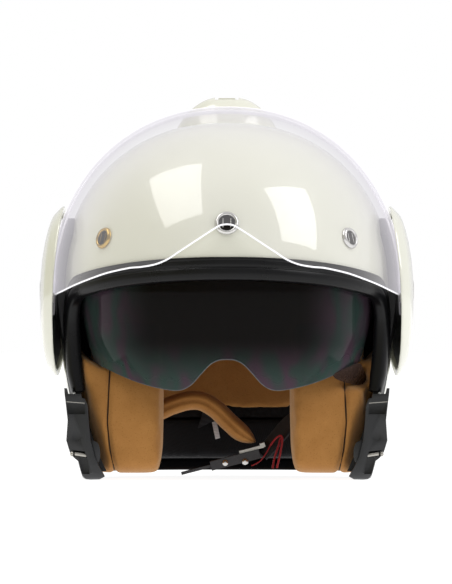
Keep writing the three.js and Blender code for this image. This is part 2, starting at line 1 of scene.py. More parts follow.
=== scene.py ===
# %% [markdown]
# # An open face motorcycle helmet
# The helmet stands on its rim with the clear visor pushed up and the smoked inner visor pulled down.
# Everything is made about the visor's axle: in the working frame of this file, in millimetres, the axle
# crosses the helmet at y = 0. `place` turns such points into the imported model's own metres.

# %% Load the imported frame
import json
import math

import bmesh
import bpy
import numpy as np
from mathutils import Matrix, Vector
from mathutils.bvhtree import BVHTree


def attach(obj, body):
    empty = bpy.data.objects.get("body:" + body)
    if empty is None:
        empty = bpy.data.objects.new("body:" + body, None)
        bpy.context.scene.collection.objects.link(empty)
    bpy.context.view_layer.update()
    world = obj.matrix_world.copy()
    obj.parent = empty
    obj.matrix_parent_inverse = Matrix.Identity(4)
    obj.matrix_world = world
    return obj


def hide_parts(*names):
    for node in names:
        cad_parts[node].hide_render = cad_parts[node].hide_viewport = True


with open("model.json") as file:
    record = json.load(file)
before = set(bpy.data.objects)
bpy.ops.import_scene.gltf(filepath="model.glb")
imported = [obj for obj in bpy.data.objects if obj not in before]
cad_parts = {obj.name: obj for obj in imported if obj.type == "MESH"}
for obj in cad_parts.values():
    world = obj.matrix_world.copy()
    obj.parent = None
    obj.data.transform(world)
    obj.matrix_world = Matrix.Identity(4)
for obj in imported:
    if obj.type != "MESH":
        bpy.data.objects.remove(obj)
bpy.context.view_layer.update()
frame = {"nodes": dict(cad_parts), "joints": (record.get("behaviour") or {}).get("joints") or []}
joints = {joint["name"]: joint for joint in frame["joints"]}
AXLE_BACK = joints["visor_pivot"]["pos_m"][1] * 1000
AXLE_HEIGHT = joints["visor_pivot"]["pos_m"][2] * 1000
print("the axle is", AXLE_BACK, "mm back and", AXLE_HEIGHT, "mm up")

# %% [markdown]
# ## Camera and light
# The helmet is seen square from the front and from far away, so a long lens at the height of its middle
# keeps the lines parallel. A white room lights it: the sky is brightest behind the helmet, dimmer and warmer
# towards the front left, and two tall soft boxes leave their broad pale shapes on the brow.

# %% Camera and light
CAMERA_DISTANCE = 7.0
PICTURE_HEIGHT = 0.4146
EYE_SIDE, EYE_HEIGHT = -0.0006, 0.1323
LAMP_TARGET = Vector((0, 0, 0.15))
LAMP_POWER = 6.6


def add_camera():
    lens = bpy.data.cameras.new("camera")
    lens.sensor_fit = "VERTICAL"
    lens.sensor_height = 24
    lens.lens = lens.sensor_height * CAMERA_DISTANCE / PICTURE_HEIGHT
    lens.clip_end = 50
    camera = bpy.data.objects.new("camera", lens)
    bpy.context.scene.collection.objects.link(camera)
    camera.location = (EYE_SIDE, AXLE_BACK / 1000 - CAMERA_DISTANCE, EYE_HEIGHT)
    camera.rotation_euler = (math.radians(90), 0, 0)
    bpy.context.scene.camera = camera


def add_soft_box(name, place, upright, size, color):
    """A rectangular lamp that faces the helmet; upright is the way its height runs."""
    light = bpy.data.lights.new(name, "AREA")
    light.shape = "RECTANGLE"
    light.size, light.size_y = size
    light.energy = LAMP_POWER
    light.color = color
    box = bpy.data.objects.new(name, light)
    bpy.context.scene.collection.objects.link(box)
    back = (Vector(place) - LAMP_TARGET).normalized()
    across = Vector(upright).cross(back).normalized()
    turned = Matrix((across, back.cross(across), back)).transposed().to_4x4()
    box.matrix_world = Matrix.Translation(place) @ turned
    box.visible_camera = False


add_camera()
add_soft_box("window_left", (-0.58, -0.27, 1.34), (0.11, 1.27, 0.3), (0.66, 1.22), (1, 0.99, 0.97))
add_soft_box("window_right", (0.88, -0.43, 1.10), (-0.54, 0.8, 0.61), (0.7, 1.05), (1, 1, 1))
bpy.context.scene.view_settings.view_transform = "Standard"
bpy.context.scene.view_settings.look = "None"
print("camera and", len(bpy.data.lights), "soft boxes")

# %% [markdown]
# ## Writing finishes as arithmetic
# A finish is a network of nodes. Wiring them by hand is hard to read, so a `Value` stands for one socket and
# understands +, -, *, ** and abs: each of them adds the Math node that does it. `Finish.node` makes every other
# kind of node from its type, its settings and what goes into its sockets.


# %% Values and finishes
class Value:
    """One output socket, which can be used in arithmetic."""

    def __init__(self, finish, socket):
        self.finish, self.socket = finish, socket

    def __getitem__(self, name):
        return Value(self.finish, self.socket.node.outputs[name])

    def math(self, operation, *terms):
        return self.finish.math(operation, *terms)

    def __add__(self, other):
        return self.math("ADD", self, other)

    def __sub__(self, other):
        return self.math("SUBTRACT", self, other)

    def __rsub__(self, other):
        return self.math("SUBTRACT", other, self)

    def __mul__(self, other):
        return self.math("MULTIPLY", self, other)

    def __pow__(self, other):
        return self.math("POWER", self, other)

    def __abs__(self):
        return self.math("ABSOLUTE", self)

    __radd__ = __add__
    __rmul__ = __mul__

    def wave(self, pitch):
        """A ripple between 0 and 1 that repeats every pitch metres."""
        return self.math("SINE", self * (2 * math.pi / pitch)) * 0.5 + 0.5

    def ramp(self, low, high):
        """0 below low, 1 above high, and smooth between."""
        return self.finish.node("ShaderNodeMapRange", {"interpolation_type": "SMOOTHSTEP"},
                                {0: self, 1: low, 2: high, 3: 0.0, 4: 1.0})


class Finish:
    """A material whose principled shader takes its numbers by name."""

    def __init__(self, name, **sockets):
        self.material = bpy.data.materials.new(name)
        self.material.use_nodes = True
        self.tree = self.material.node_tree
        self.shader = self.tree.nodes["Principled BSDF"]
        for socket, value in sockets.items():
            self.set(socket.replace("_", " ").title().replace("Ior", "IOR"), value)

    def set(self, socket, value):
        self.plug(self.shader.inputs[socket], value)

    def plug(self, socket, value):
        if isinstance(value, Value):
            self.tree.links.new(value.socket, socket)
        elif isinstance(value, (tuple, list)) and socket.type == "RGBA":
            socket.default_value = (*value, 1.0)[:4]
        else:
            socket.default_value = value

    def node(self, kind, settings=None, sockets=None, output=0):
        node = self.tree.nodes.new(kind)
        for name, value in (settings or {}).items():
            setattr(node, name, value)
        for name, value in (sockets or {}).items():
            self.plug(node.inputs[name], value)
        return Value(self, node.outputs[output])

    def math(self, operation, *terms):
        return self.node("ShaderNodeMath", {"operation": operation}, dict(enumerate(terms)))

    def place(self):
        return self.node("ShaderNodeTexCoord")["Object"]

    def axis(self, name):
        return self.node("ShaderNodeSeparateXYZ", None, {0: self.place()})[name]

    def noise(self, size, detail=3.0, roughness=0.55, stretch=(1, 1, 1)):
        """Soft noise whose blotches are about size metres across."""
        spot = self.node("ShaderNodeMapping", None, {"Vector": self.place(), "Scale": stretch})
        return self.node("ShaderNodeTexNoise", None,
                         {"Vector": spot, "Scale": 1 / size, "Detail": detail, "Roughness": roughness})

    def cells(self, size):
        """Distance to the middle of the nearest cell, in cells, of cells about size metres across."""
        return self.node("ShaderNodeTexVoronoi", None, {"Vector": self.place(), "Scale": 1 / size})

    def mix(self, factor, first, second):
        return self.node("ShaderNodeMix", {"data_type": "RGBA"}, {0: factor, 6: first, 7: second}, output=2)

    def bump(self, height, depth, strength=1.0):
        """Raises the surface by up to depth metres where height is 1."""
        self.set("Normal", self.node("ShaderNodeBump", None,
                                     {"Strength": strength, "Distance": depth, "Height": height}))


print("finishes can be written as arithmetic")

# %% [markdown]
# ## Paint, rubber and plastic
# The shell is pearl white lacquer: a pale warm coat with very fine clouding, under a clear coat that makes the
# sharp reflections. The rubber and the moulded black plastic are nearly the same black, and only their grain
# and gloss tell them apart, so each has its own.


# %% Paint, rubber and plastic
def pearl_paint():
    paint = Finish("pearl_paint", roughness=0.3, coat_weight=1.0, coat_roughness=0.03, coat_ior=1.85)
    clouds = paint.noise(0.035)
    flakes = paint.noise(0.0009, 1.0)
    paint.set("Base Color", paint.mix(clouds, (0.77, 0.768, 0.66), (0.80, 0.797, 0.70)))
    paint.set("Roughness", 0.24 + 0.12 * flakes)
    paint.bump(flakes, 0.000012)
    return paint.material


def black_rubber():
    rubber = Finish("black_rubber", specular_ior_level=0.24)
    grain = rubber.noise(0.0012, 4.0)
    wipe = rubber.noise(0.018)
    rubber.set("Base Color", rubber.mix(wipe, (0.003, 0.003, 0.0035), (0.007, 0.007, 0.008)))
    rubber.set("Roughness", 0.20 + 0.12 * wipe + 0.06 * grain)
    rubber.bump(grain, 0.00006)
    return rubber.material


def black_plastic(name="black_plastic", color=(0.028, 0.028, 0.031), gloss=0.42):
    plastic = Finish(name, specular_ior_level=0.5)
    pits = plastic.cells(0.0007)
    wipe = plastic.noise(0.012)
    lighter = tuple(1.5 * part for part in color)
    plastic.set("Base Color", plastic.mix(wipe, color, lighter))
    plastic.set("Roughness", gloss + 0.16 * wipe)
    plastic.bump(pits, 0.00005)
    return plastic.material


def metal(name, color, gloss):
    plate = Finish(name, metallic=1.0)
    smear = plate.noise(0.004, 4.0)
    plate.set("Base Color", plate.mix(smear, color, tuple(0.72 * part for part in color)))
    plate.set("Roughness", gloss + 0.14 * smear)
    plate.bump(plate.noise(0.0006), 0.00001)
    return plate.material


# %% [markdown]
# ## Suede and cloth
# Brushed micro-suede has a short nap that lies in patches, so its colour drifts, and it is pricked all over
# with tiny pores. The sheen of the nap lights the turning edges of each pad. The black cloth is a plain knit
# and the strap is woven ribbon, whose two thread directions are two crossing ripples.


# %% Suede and cloth
def tan_suede(name="tan_suede", dark=(0.30, 0.125, 0.030), light=(0.52, 0.255, 0.078)):
    suede = Finish(name, sheen_weight=0.35, sheen_roughness=0.4, sheen_tint=(1.0, 0.82, 0.6),
                   specular_ior_level=0.15)
    nap = suede.noise(0.016, 5.0, 0.62)
    grain = suede.noise(0.0011, 3.0, 0.7)
    pores = suede.cells(0.0017).ramp(0.0, 0.30) * 0.5 + 0.5
    worn = suede.mix(nap * 0.75 + grain * 0.3, dark, light)
    suede.set("Base Color", suede.mix(pores, tuple(0.55 * part for part in dark), worn))
    suede.set("Roughness", 0.82 + 0.15 * grain)
    suede.bump(grain * 0.6 + pores * 0.5 + nap * 0.5, 0.00035)
    return suede.material


def knit(name, dark, light, thread=0.0011):
    cloth = Finish(name, sheen_weight=0.12, sheen_roughness=0.5, specular_ior_level=0.2)
    across, up, back = cloth.axis("X"), cloth.axis("Z"), cloth.axis("Y")
    loops = (across + back * 0.6).wave(thread) * (up + back * 0.4).wave(thread)
    wear = cloth.noise(0.01, 4.0)
    cloth.set("Base Color", cloth.mix(loops * 0.6 + wear * 0.4, dark, light))
    cloth.set("Roughness", 0.8 + 0.15 * wear)
    cloth.bump(loops, 0.00018)
    return cloth.material


def ribbon(name, dark, light, thread=0.0013):
    cloth = Finish(name, sheen_weight=0.1, specular_ior_level=0.35)
    across, along = cloth.axis("Y"), cloth.axis("X") + cloth.axis("Z")
    ribs = across.wave(thread)
    picks = along.wave(thread * 0.8)
    weave = ribs * 0.65 + picks * 0.35
    fade = cloth.noise(0.006)
    cloth.set("Base Color", cloth.mix(weave * 0.7 + fade * 0.3, dark, light))
    cloth.set("Roughness", 0.62 + 0.2 * fade)
    cloth.bump(weave, 0.0002)
    return cloth.material


def moulded_foam():
    foam = Finish("moulded_foam", specular_ior_level=0.2)
    beads = foam.cells(0.0034)
    foam.set("Base Color", foam.mix(beads, (0.014, 0.014, 0.015), (0.007, 0.007, 0.008)))
    foam.set("Roughness", 0.75 + 0.2 * beads)
    foam.bump(1 - beads, 0.0004)
    return foam.material


# %% [markdown]
# ## Clear and smoked polycarbonate
# Clear plastic bends light, but a wall that refracts darkens the paint below it, because the renderer doesn't
# follow the light that the wall focuses. So this sheet is nearly black and nearly invisible, and where it turns
# away from the eye it gets milky by a light of its own: a painted sheen. Its cut edge glows the same way, a
# painted highlight for the light that runs along the sheet and comes out there. The smoked visor hides most of
# what is behind it. Low down and towards its sides it is painted paler, in bands of faint green and violet: a
# painted reflection, for the light that its anti-fog film throws back.


# %% Clear and smoked polycarbonate
def clear_plastic():
    clear = Finish("clear_polycarbonate", ior=1.5, specular_ior_level=0.04, roughness=0.03, emission_strength=0.80)
    turned = clear.node("ShaderNodeLayerWeight", None, {"Blend": 0.5})["Facing"]
    haze = clear.noise(0.05, 2.0)
    clear.set("Base Color", clear.mix(haze, (0.02, 0.02, 0.022), (0.03, 0.03, 0.032)))
    # Painted sheen: the emission makes the sheet milky, near white face on and lavender where it turns away.
    clear.set("Emission Color", clear.mix(turned.ramp(0.45, 0.85), (1.0, 0.98, 1.0), (0.70, 0.675, 0.735)))
    # The milky glow shows where the alpha is high: where the sheet turns away, and much more above about 13 cm.
    ahead = clear.axis("Z").ramp(0.126, 0.134)
    clear.set("Alpha", 0.04 + 0.03 * haze + (0.08 + 0.64 * ahead) * turned ** 2.6)
    clear.set("Roughness", 0.02 + 0.02 * haze)
    return clear.material


def clear_edge_highlight():
    # Painted highlight: the cut edge is near white and glows by a light of its own.
    edge = Finish("clear_cut_edge", ior=1.5, specular_ior_level=0.8, emission_strength=0.35)
    polish = edge.noise(0.004)
    edge.set("Base Color", edge.mix(polish, (0.80, 0.79, 0.84), (0.90, 0.90, 0.93)))
    edge.set("Emission Color", edge.mix(polish, (0.88, 0.87, 0.92), (0.98, 0.98, 1.0)))
    edge.set("Roughness", 0.15 + 0.15 * polish)
    return edge.material


def smoked_plastic():
    smoke = Finish("smoked_polycarbonate", ior=1.5, specular_ior_level=0.06)
    # Painted reflection: low down and towards the sides the smoke is painted paler, in faint green and violet
    # bands,
    # for the light that its anti-fog film reflects.
    low = 1 - smoke.axis("Z").ramp(0.062, 0.100)
    side = abs(smoke.axis("X")).ramp(0.052, 0.094)
    film = smoke.noise(0.05, 2.0, 0.5, stretch=(1.6, 1.0, 0.8))
    reflected_bands = smoke.math("SINE", film * 24 + smoke.axis("X") * 70) * 0.5 + 0.5
    reflection_tint = smoke.mix(reflected_bands, (0.062, 0.112, 0.098), (0.130, 0.078, 0.115))
    pale = low * (0.55 + 0.35 * side) + side * 0.35
    smoke.set("Base Color", smoke.mix(pale, (0.0035, 0.0035, 0.0035), reflection_tint))
    smoke.set("Alpha", 0.86 + 0.04 * film)
    smoke.set("Roughness", 0.05 + 0.03 * film)
    return smoke.material


def tinted_tab(name="tinted_tab", dark=(0.046, 0.027, 0.021), light=(0.058, 0.036, 0.029)):
    tab = Finish(name, ior=1.5, specular_ior_level=0.5)
    cloud = tab.noise(0.008)
    tab.set("Base Color", tab.mix(cloud, dark, light))
    tab.set("Alpha", 0.93 + 0.05 * cloud)
    tab.set("Roughness", 0.22 + 0.1 * cloud)
    return tab.material


PEARL = pearl_paint()
RUBBER = black_rubber()
PLASTIC = black_plastic()
DEEP_PLASTIC = black_plastic("deep_black_plastic", (0.010, 0.010, 0.011), 0.5)
CATCH_PLASTIC = black_plastic("catch_plastic", (0.0105, 0.011, 0.0125), 0.30)
CHROME = metal("polished_plate", (0.80, 0.79, 0.77), 0.08)
STEEL = metal("plain_steel", (0.52, 0.50, 0.46), 0.26)
BRASS = metal("brass_plate", (0.62, 0.42, 0.13), 0.12)
SUEDE = tan_suede()
SEAM = tan_suede("dark_seam", (0.018, 0.009, 0.005), (0.045, 0.022, 0.010))
KNIT = knit("black_knit", (0.004, 0.004, 0.005), (0.018, 0.018, 0.020))
WEBBING = ribbon("black_webbing", (0.008, 0.008, 0.010), (0.034, 0.035, 0.040))
RED_RIBBON = ribbon("red_ribbon", (0.16, 0.002, 0.004), (0.46, 0.012, 0.018), 0.0009)
LABEL = ribbon("white_label", (0.62, 0.60, 0.60), (0.80, 0.78, 0.78), 0.0007)
FOAM = moulded_foam()
CLEAR = clear_plastic()
CLEAR_EDGE_HIGHLIGHT = clear_edge_highlight()
SMOKE = smoked_plastic()
TAB_TINT = tinted_tab()
# A pale grey finish for the cord along the inner visor's lower edge: a painted highlight.
SMOKE_EDGE_HIGHLIGHT = tinted_tab("smoked_cut_edge", (0.070, 0.078, 0.080), (0.110, 0.120, 0.122))
print(len(bpy.data.materials), "finishes")

# %% [markdown]
# ## The room
# A floor that glows as white as the sky leaves no horizon. The eye sees a plain white sky, but the helmet is lit
# by another: pale behind it, darker in front, and dim and yellow to the left, where a real studio is open.


# %% The room
def add_room():
    paper = Finish("paper_floor", specular_ior_level=0.1, emission_strength=0.93)
    grain = paper.noise(0.6)
    paper.set("Base Color", paper.mix(grain, (0.24, 0.24, 0.24), (0.26, 0.26, 0.26)))
    paper.set("Emission Color", paper.mix(grain, (0.98, 0.98, 0.98), (1.0, 1.0, 1.0)))
    paper.set("Roughness", 0.9)
    bpy.ops.mesh.primitive_circle_add(vertices=96, radius=14, fill_type="NGON", location=(0, 0, -0.0002))
    floor = bpy.context.object
    floor.name = "paper_floor"
    floor.data.materials.append(paper.material)
    world = bpy.data.worlds.new("room")
    bpy.context.scene.world = world
    world.use_nodes = True
    sky = Finish.__new__(Finish)
    sky.tree = world.node_tree
    background = sky.tree.nodes["Background"]
    direction = sky.node("ShaderNodeSeparateXYZ", None, {0: sky.node("ShaderNodeTexCoord")["Generated"]})
    forward = (direction["Y"] * -1).ramp(0.0, 0.8)
    leftward = (direction["X"] * -1 - direction["Y"] * 0.3).ramp(0.1, 1.0)
    room = sky.mix(forward, (0.78, 0.78, 0.78), (0.45, 0.45, 0.45))
    room = sky.mix(leftward, room, (0.31, 0.295, 0.15))
    seen = sky.node("ShaderNodeLightPath")["Is Camera Ray"]
    sky.plug(background.inputs["Color"], sky.mix(seen, room, (1.0, 1.0, 1.0)))
    print("the floor is", floor.dimensions.x, "m wide")


add_room()

# %% [markdown]
# ## Making meshes
# Most pieces are skins stretched over rings of points, or solids cut by other solids. Each helper below does
# one of those things. Every visible piece goes through `finish_piece`, which gives it its material and says
# which body carries it and which imported solids it stands for.


# %% Making meshes
def place(points):
    """Working millimetres to the model's metres."""
    moved = np.array(points, float)
    moved[..., 1] += AXLE_BACK
    return moved * 0.001


def new_object(name, mesh):
    thing = bpy.data.objects.new(name, mesh)
    bpy.context.scene.collection.objects.link(thing)
    return thing


def from_faces(name, points, faces):
    mesh = bpy.data.meshes.new(name)
    mesh.from_pydata([tuple(p) for p in place(points)], [], faces)
    shape = bmesh.new()
    shape.from_mesh(mesh)
    bmesh.ops.remove_doubles(shape, verts=shape.verts, dist=2e-6)
    bmesh.ops.dissolve_degenerate(shape, edges=shape.edges, dist=1e-7)
    bmesh.ops.recalc_face_normals(shape, faces=shape.faces)
    shape.to_mesh(mesh)
    shape.free()
    return new_object(name, mesh)


def skin(name, rings, close_rows=False, caps=True):
    """A closed surface over equal rings of points."""
    rings = np.array(rings, float)
    rows, columns = rings.shape[:2]
    faces = []
    for i in range(rows if close_rows else rows - 1):
        for j in range(columns):
            low, high, after = i * columns, (i + 1) % rows * columns, (j + 1) % columns
            faces.append((low + j, low + after, high + after, high + j))
    if caps and not close_rows:
        faces.append(tuple(reversed(range(columns))))
        faces.append(tuple(range((rows - 1) * columns, rows * columns)))
    return from_faces(name, rings.reshape(-1, 3), faces)


def slab(name, outline, axis, low, high):
    """An outline, run along an axis. Seen from the side it is (y, z), and from the front (x, z)."""
    spot = "xyz".index(axis)
    return skin(name, [np.insert(np.array(outline, float), spot, reach, axis=1) for reach in (low, high)])


def spun(name, profile, foot, out, side, up, sides):
    """Turns (radius, height) points about the line that leaves foot in the direction out."""
    turns = [2 * math.pi * i / sides for i in range(sides)]
    return skin(name, [[foot + out * height + (side * math.cos(t) + up * math.sin(t)) * max(radius, 1e-4)
                        for t in turns] for radius, height in profile])


def rod(name, radius, start, end, sides=48, edge=0.0):
    """A round bar between two points, with its edges eased."""
    start, end = Vector(start), Vector(end)
    along = (end - start).normalized()
    side = along.orthogonal().normalized()
    length = (end - start).length
    steps = [(radius - edge, 0), (radius, edge), (radius, length - edge), (radius - edge, length)]
    return spun(name, steps if edge else steps[1:3], start, along, side, along.cross(side), sides)


def settle(thing):
    """Turns a piece and its modifiers into plain mesh."""
    graph = bpy.context.evaluated_depsgraph_get()
    graph.update()
    mesh = bpy.data.meshes.new_from_object(thing.evaluated_get(graph))
    thing.modifiers.clear()
    thing.data = mesh
    return thing


def combine(operation, thing, *tools):
    for tool in tools:
        step = thing.modifiers.new(operation.lower(), "BOOLEAN")
        step.operation = operation
        step.solver = "MANIFOLD"
        step.object = tool
        settle(thing)
        bpy.data.objects.remove(tool)
    return thing


def cut(thing, *tools):
    return combine("DIFFERENCE", thing, *tools)


def keep(thing, *tools):
    return combine("INTERSECT", thing, *tools)


def join(thing, *tools):
    return combine("UNION", thing, *tools)


def points_of(thing):
    return np.array([v.co for v in thing.data.vertices])


def normals_of(thing):
    return np.array([v.normal for v in thing.data.vertices])


def move_to(thing, points):
    thing.data.vertices.foreach_set("co", points.astype(np.float32).ravel())
    thing.data.update()
    return thing


def smooth(thing, crease=34):
    """Smooth shading, with sharp edges where faces meet at more than the crease angle."""
    shape = bmesh.new()
    shape.from_mesh(thing.data)
    for face in shape.faces:
        face.smooth = True
    for edge in shape.edges:
        edge.smooth = len(edge.link_faces) == 2 and edge.calc_face_angle(0) < math.radians(crease)
    shape.to_mesh(thing.data)
    shape.free()
    return thing


def ease(thing, width, segments=3, angle=28):
    """Rounds the edges of a hard piece."""
    step = thing.modifiers.new("eased", "BEVEL")
    step.width = width * 0.001
    step.segments = segments
    step.limit_method = "ANGLE"
    step.angle_limit = math.radians(angle)
    step.use_clamp_overlap = True
    return settle(thing)


def subdivide(thing, levels):
    step = thing.modifiers.new("fine", "SUBSURF")
    step.levels = levels
    return settle(thing)


def flipped(mesh):
    """The mesh, turned into its own mirror image."""
    mesh.transform(Matrix.Scale(-1, 4, (1, 0, 0)))
    mesh.flip_normals()
    return mesh


def repaint(thing, *materials):
    thing.data.materials.clear()
    for material in materials:
        thing.data.materials.append(material)


def finish_piece(thing, material, body="helmet", stands_for=(), crease=34):
    smooth(thing, crease)
    repaint(thing, material)
    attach(thing, body)
    if stands_for:
        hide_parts(*stands_for)
    return thing


def finish_pair(thing, name, material, node=None, crease=34, body="helmet"):
    """The piece on the wearer's left, and its mirror image on the right."""
    other = new_object(name + "_right", flipped(thing.data.copy()))
    thing.name = name + "_left"
    for piece in (thing, other):
        side = piece.name.rsplit("_", 1)[1]
        finish_piece(piece, material, body, [f"{node}_{side}"] if node else (), crease)
    return thing, other


def from_node(name, node):
    """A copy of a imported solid, to be eased and given finer edges."""
    return new_object(name, frame["nodes"][node].data.copy())


def spline(points, count):
    """Evenly spaced points on a smooth line through the given ones."""
    points = np.array(points, float)
    ends = np.vstack([2 * points[0] - points[1], points, 2 * points[-1] - points[-2]])
    line = []
    for i in range(1, len(ends) - 2):
        a, b, c, d = ends[i - 1:i + 3]
        for t in np.linspace(0, 1, 24, endpoint=False):
            line.append(0.5 * (2 * b + (c - a) * t + (2 * a - 5 * b + 4 * c - d) * t ** 2
                               + (3 * b - a - 3 * c + d) * t ** 3))
    line.append(ends[-2])
    return evenly(line, count)


def evenly(line, count):
    line = np.array(line, float)
    reach = np.concatenate([[0], np.cumsum(np.linalg.norm(np.diff(line, axis=0), axis=1))])
    steps = np.linspace(0, reach[-1], count)
    return np.stack([np.interp(steps, reach, line[:, k]) for k in range(line.shape[1])], 1)


print("mesh helpers are ready")

# %% [markdown]
# ## The helmet's form
# The shell is a family of superellipses: at each height a rounder-than-elliptical ring, wider towards the back
# of the head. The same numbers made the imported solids, so the smooth skins here lie on their faces.

# %% The helmet's form
HALF_WIDTH, CROWN_RISE = 118, 120
CENTRE, FRONT, REAR = 12, 138, 152
ROUND, SQUARENESS = 2.15, 0.35
SHELL_WALL = 4
CLEARANCE = 0.4
VISOR_SHAPE = dict(half_width=125, reach=136.5, rise=131, least=2.1, flare=0.6)
SUN_SHAPE = dict(half_width=106, reach=115, rise=115, least=2.2, flare=0.0)
TAB_SHAPE = dict(half_width=116, reach=100, rise=118, least=2.2, flare=0.0)


def section(z, inset):
    """Half width, front reach, rear reach and roundness of the form at height z."""
    z = np.asarray(z, float)
    share = np.clip((z - AXLE_HEIGHT) / (CROWN_RISE - inset), 0, 1)
    above = (1 - share ** ROUND) ** (1 / ROUND)
    drop = np.clip((AXLE_HEIGHT - z) / AXLE_HEIGHT, 0, None)
    return ((HALF_WIDTH - inset) * above * (1 - 0.165 * drop ** 2.5),
            (FRONT - inset) * above * (1 - 0.22 * drop ** 2),
            (REAR - inset) * above * (1 - 0.27 * drop ** 1.8),
            ROUND + SQUARENESS * drop)


def signed_power(value, exponent):
    return np.sign(value) * np.abs(value) ** exponent


def form_ring(z, inset, columns):
    turn = np.arange(columns) / columns * 2 * math.pi
    half, front, rear, power = section(z, inset)
    reach = np.where(np.cos(turn) > 0, front, rear)
    return np.stack([half * signed_power(np.sin(turn), 2 / power),
                     CENTRE - reach * signed_power(np.cos(turn), 2 / power),
                     np.full(columns, float(z))], 1)


def form(inset, columns=144, upper=40, lower=30, floor=-28):
    heights = list(np.linspace(floor, AXLE_HEIGHT, lower, endpoint=False))
    climb = np.linspace(0, math.pi / 2, upper + 1)
    heights += list(AXLE_HEIGHT + (CROWN_RISE - inset) * np.sin(climb) ** (2 / ROUND))
    return skin("form", [form_ring(z, inset, columns) for z in heights])


def form_field(point, inset):
    x, y, z = point
    half, front, rear, power = section(min(z, AXLE_HEIGHT), inset)
    rise = max(0.0, z - AXLE_HEIGHT) / (CROWN_RISE - inset)
    reach = front if y < CENTRE else rear
    return (abs(x) / half) ** power + (abs(y - CENTRE) / reach) ** power + rise ** ROUND - 1


def form_normal(point, inset):
    point = np.array(point, float)
    slope = [form_field(point + step, inset) - form_field(point - step, inset) for step in np.eye(3) * 0.05]
    return Vector(slope).normalized()


def form_half_width(y, z, inset):
    half, front, rear, power = section(z, inset)
    reach = np.where(np.asarray(y) < CENTRE, front, rear)
    share = 1 - (np.abs(np.asarray(y) - CENTRE) / np.maximum(reach, 1e-6)) ** power
    return half * np.clip(share, 0, None) ** (1 / power)


def roundness(shape, climb):
    return shape["least"] + shape["flare"] * ((1 + np.cos(climb + math.pi / 4)) / 2) ** 2


def bubble(shape, inset, rows=84, columns=150):
    """A visor's closed form, round about the axle, and fuller low down in front."""
    climb = np.arange(columns) / columns * 2 * math.pi
    power = roundness(shape, climb)
    rings = []
    for across in np.linspace(-math.pi / 2, math.pi / 2, rows + 1):
        share = max(0.0, math.cos(across)) ** (2 / power)
        rings.append(np.stack([
            (shape["half_width"] - inset) * signed_power(np.full(columns, math.sin(across)), 2 / power),
            -(shape["reach"] - inset) * share * np.cos(climb),
            AXLE_HEIGHT + (shape["rise"] - inset) * share * np.sin(climb)], 1))
    return skin("bubble", rings, caps=False)


def bubble_half_width(shape, inset, y, z):
    ahead = -np.asarray(y) / (shape["reach"] - inset)
    up = (np.asarray(z) - AXLE_HEIGHT) / (shape["rise"] - inset)
    power = roundness(shape, np.arctan2(up, ahead))
    share = np.clip(1 - np.clip(np.hypot(ahead, up), 0, 1) ** power, 0, 1)
    return (shape["half_width"] - inset) * share ** (1 / power)


def curve(*controls, count=24):
    """A quadratic or cubic curve through its control points' pull."""
    t = np.linspace(0, 1, count)[:, None]
    points = [np.array(c, float) for c in controls]
    while len(points) > 1:
        points = [a * (1 - t) + b * t for a, b in zip(points, points[1:])]
    return points[0]


def opening_edge(shift=0):
    """The face opening seen from the side, from the brow to below the jaw."""
    s = shift
    return np.vstack([
        curve((-150 + s, 151.5 + s), (-57 + s, 134.1 + s), count=40)[:-1],
        curve((-57 + s, 134.1 + s), (-40 + s, 130.9 + s), (-39 + s, 112 + s), count=24)[:-1],
        curve((-39 + s, 112 + s), (-38 + s, 84), (-44 + s, 44), (-60 + s, -24), count=60)])


def opening_cutter(shift=0):
    return slab("cutter", [*opening_edge(shift), (-230, -24), (-230, 152 + shift)], "x", -160, 160)


def box(x, y, z):
    return slab("box", [(x[0], y[0]), (x[1], y[0]), (x[1], y[1]), (x[0], y[1])], "z", *z)


print("half width at the axle:", float(section(AXLE_HEIGHT, 0)[0]), "mm")

# %% [markdown]
# ## The painted shell
# Two smooth forms, one four millimetres inside the other, make the wall. The face opening is cut through it
# from the side, and the rim is cut flat. Cutting solids is simpler than fitting a grid of faces round a hole,
# and both cut edges end up under rubber. Only the outer face is painted: inside it is bare black plastic.


# %% The painted shell
RIM_HEIGHT = 6


def painted_shell():
    shell = cut(form(0), form(SHELL_WALL), opening_cutter())
    return cut(shell, box((-200, 200), (-250, 250), (-60, RIM_HEIGHT)))


shell = finish_piece(painted_shell(), PEARL, stands_for=["outer_shell"])
shell.name = "shell"
shell.data.materials.append(DEEP_PLASTIC)
for face in shell.data.polygons:
    spot = np.array(face.center) * 1000 - (0, AXLE_BACK, 0)
    face.material_index = 0 if form_normal(spot, 0).dot(face.normal) > 0.6 else 1
repaint(frame["nodes"]["foam_liner"], FOAM)
print("the shell has", len(shell.data.polygons), "faces")

# %% [markdown]
# ## Rubber edgings
# The edging of the face opening is an extruded strip: a thin flat flange, a groove, and a fat round bead that
# hangs over the edge, with a lip inside. It is made as extrusions are, by running one cross-section along the
# edge. The section's corners are rounded by cutting them twice, and its lips get slimmer down the jaw.


# %% Rubber edgings
def rounded(outline, times=2, share=0.22):
    points = np.array(outline, float)
    for _ in range(times):
        after = np.roll(points, -1, 0)
        points = np.stack([points * (1 - share) + after * share, points * share + after * (1 - share)], 1)
        points = points.reshape(-1, 2)
    return points


LIP = 3


def edging(name, path, outline, inset, into, slim=None):
    """Runs (out, in) points along a path on the form. slim says how thick the lips are at a height."""
    rings = []
    for i, point in enumerate(path):
        along = Vector(path[min(i + 1, len(path) - 1)] - path[max(i - 1, 0)]).normalized()
        out = form_normal(point, inset)
        inward = along.cross(out).normalized()
        if inward.dot(into(point)) < 0:
            inward.negate()
        lips = np.interp(point[2], *slim) if slim else 1
        rings.append([Vector(point) + inward * b
                      + out * math.copysign(min(abs(a), LIP) + max(abs(a) - LIP, 0) * lips, a) for a, b in outline])
    return skin(name, rings)


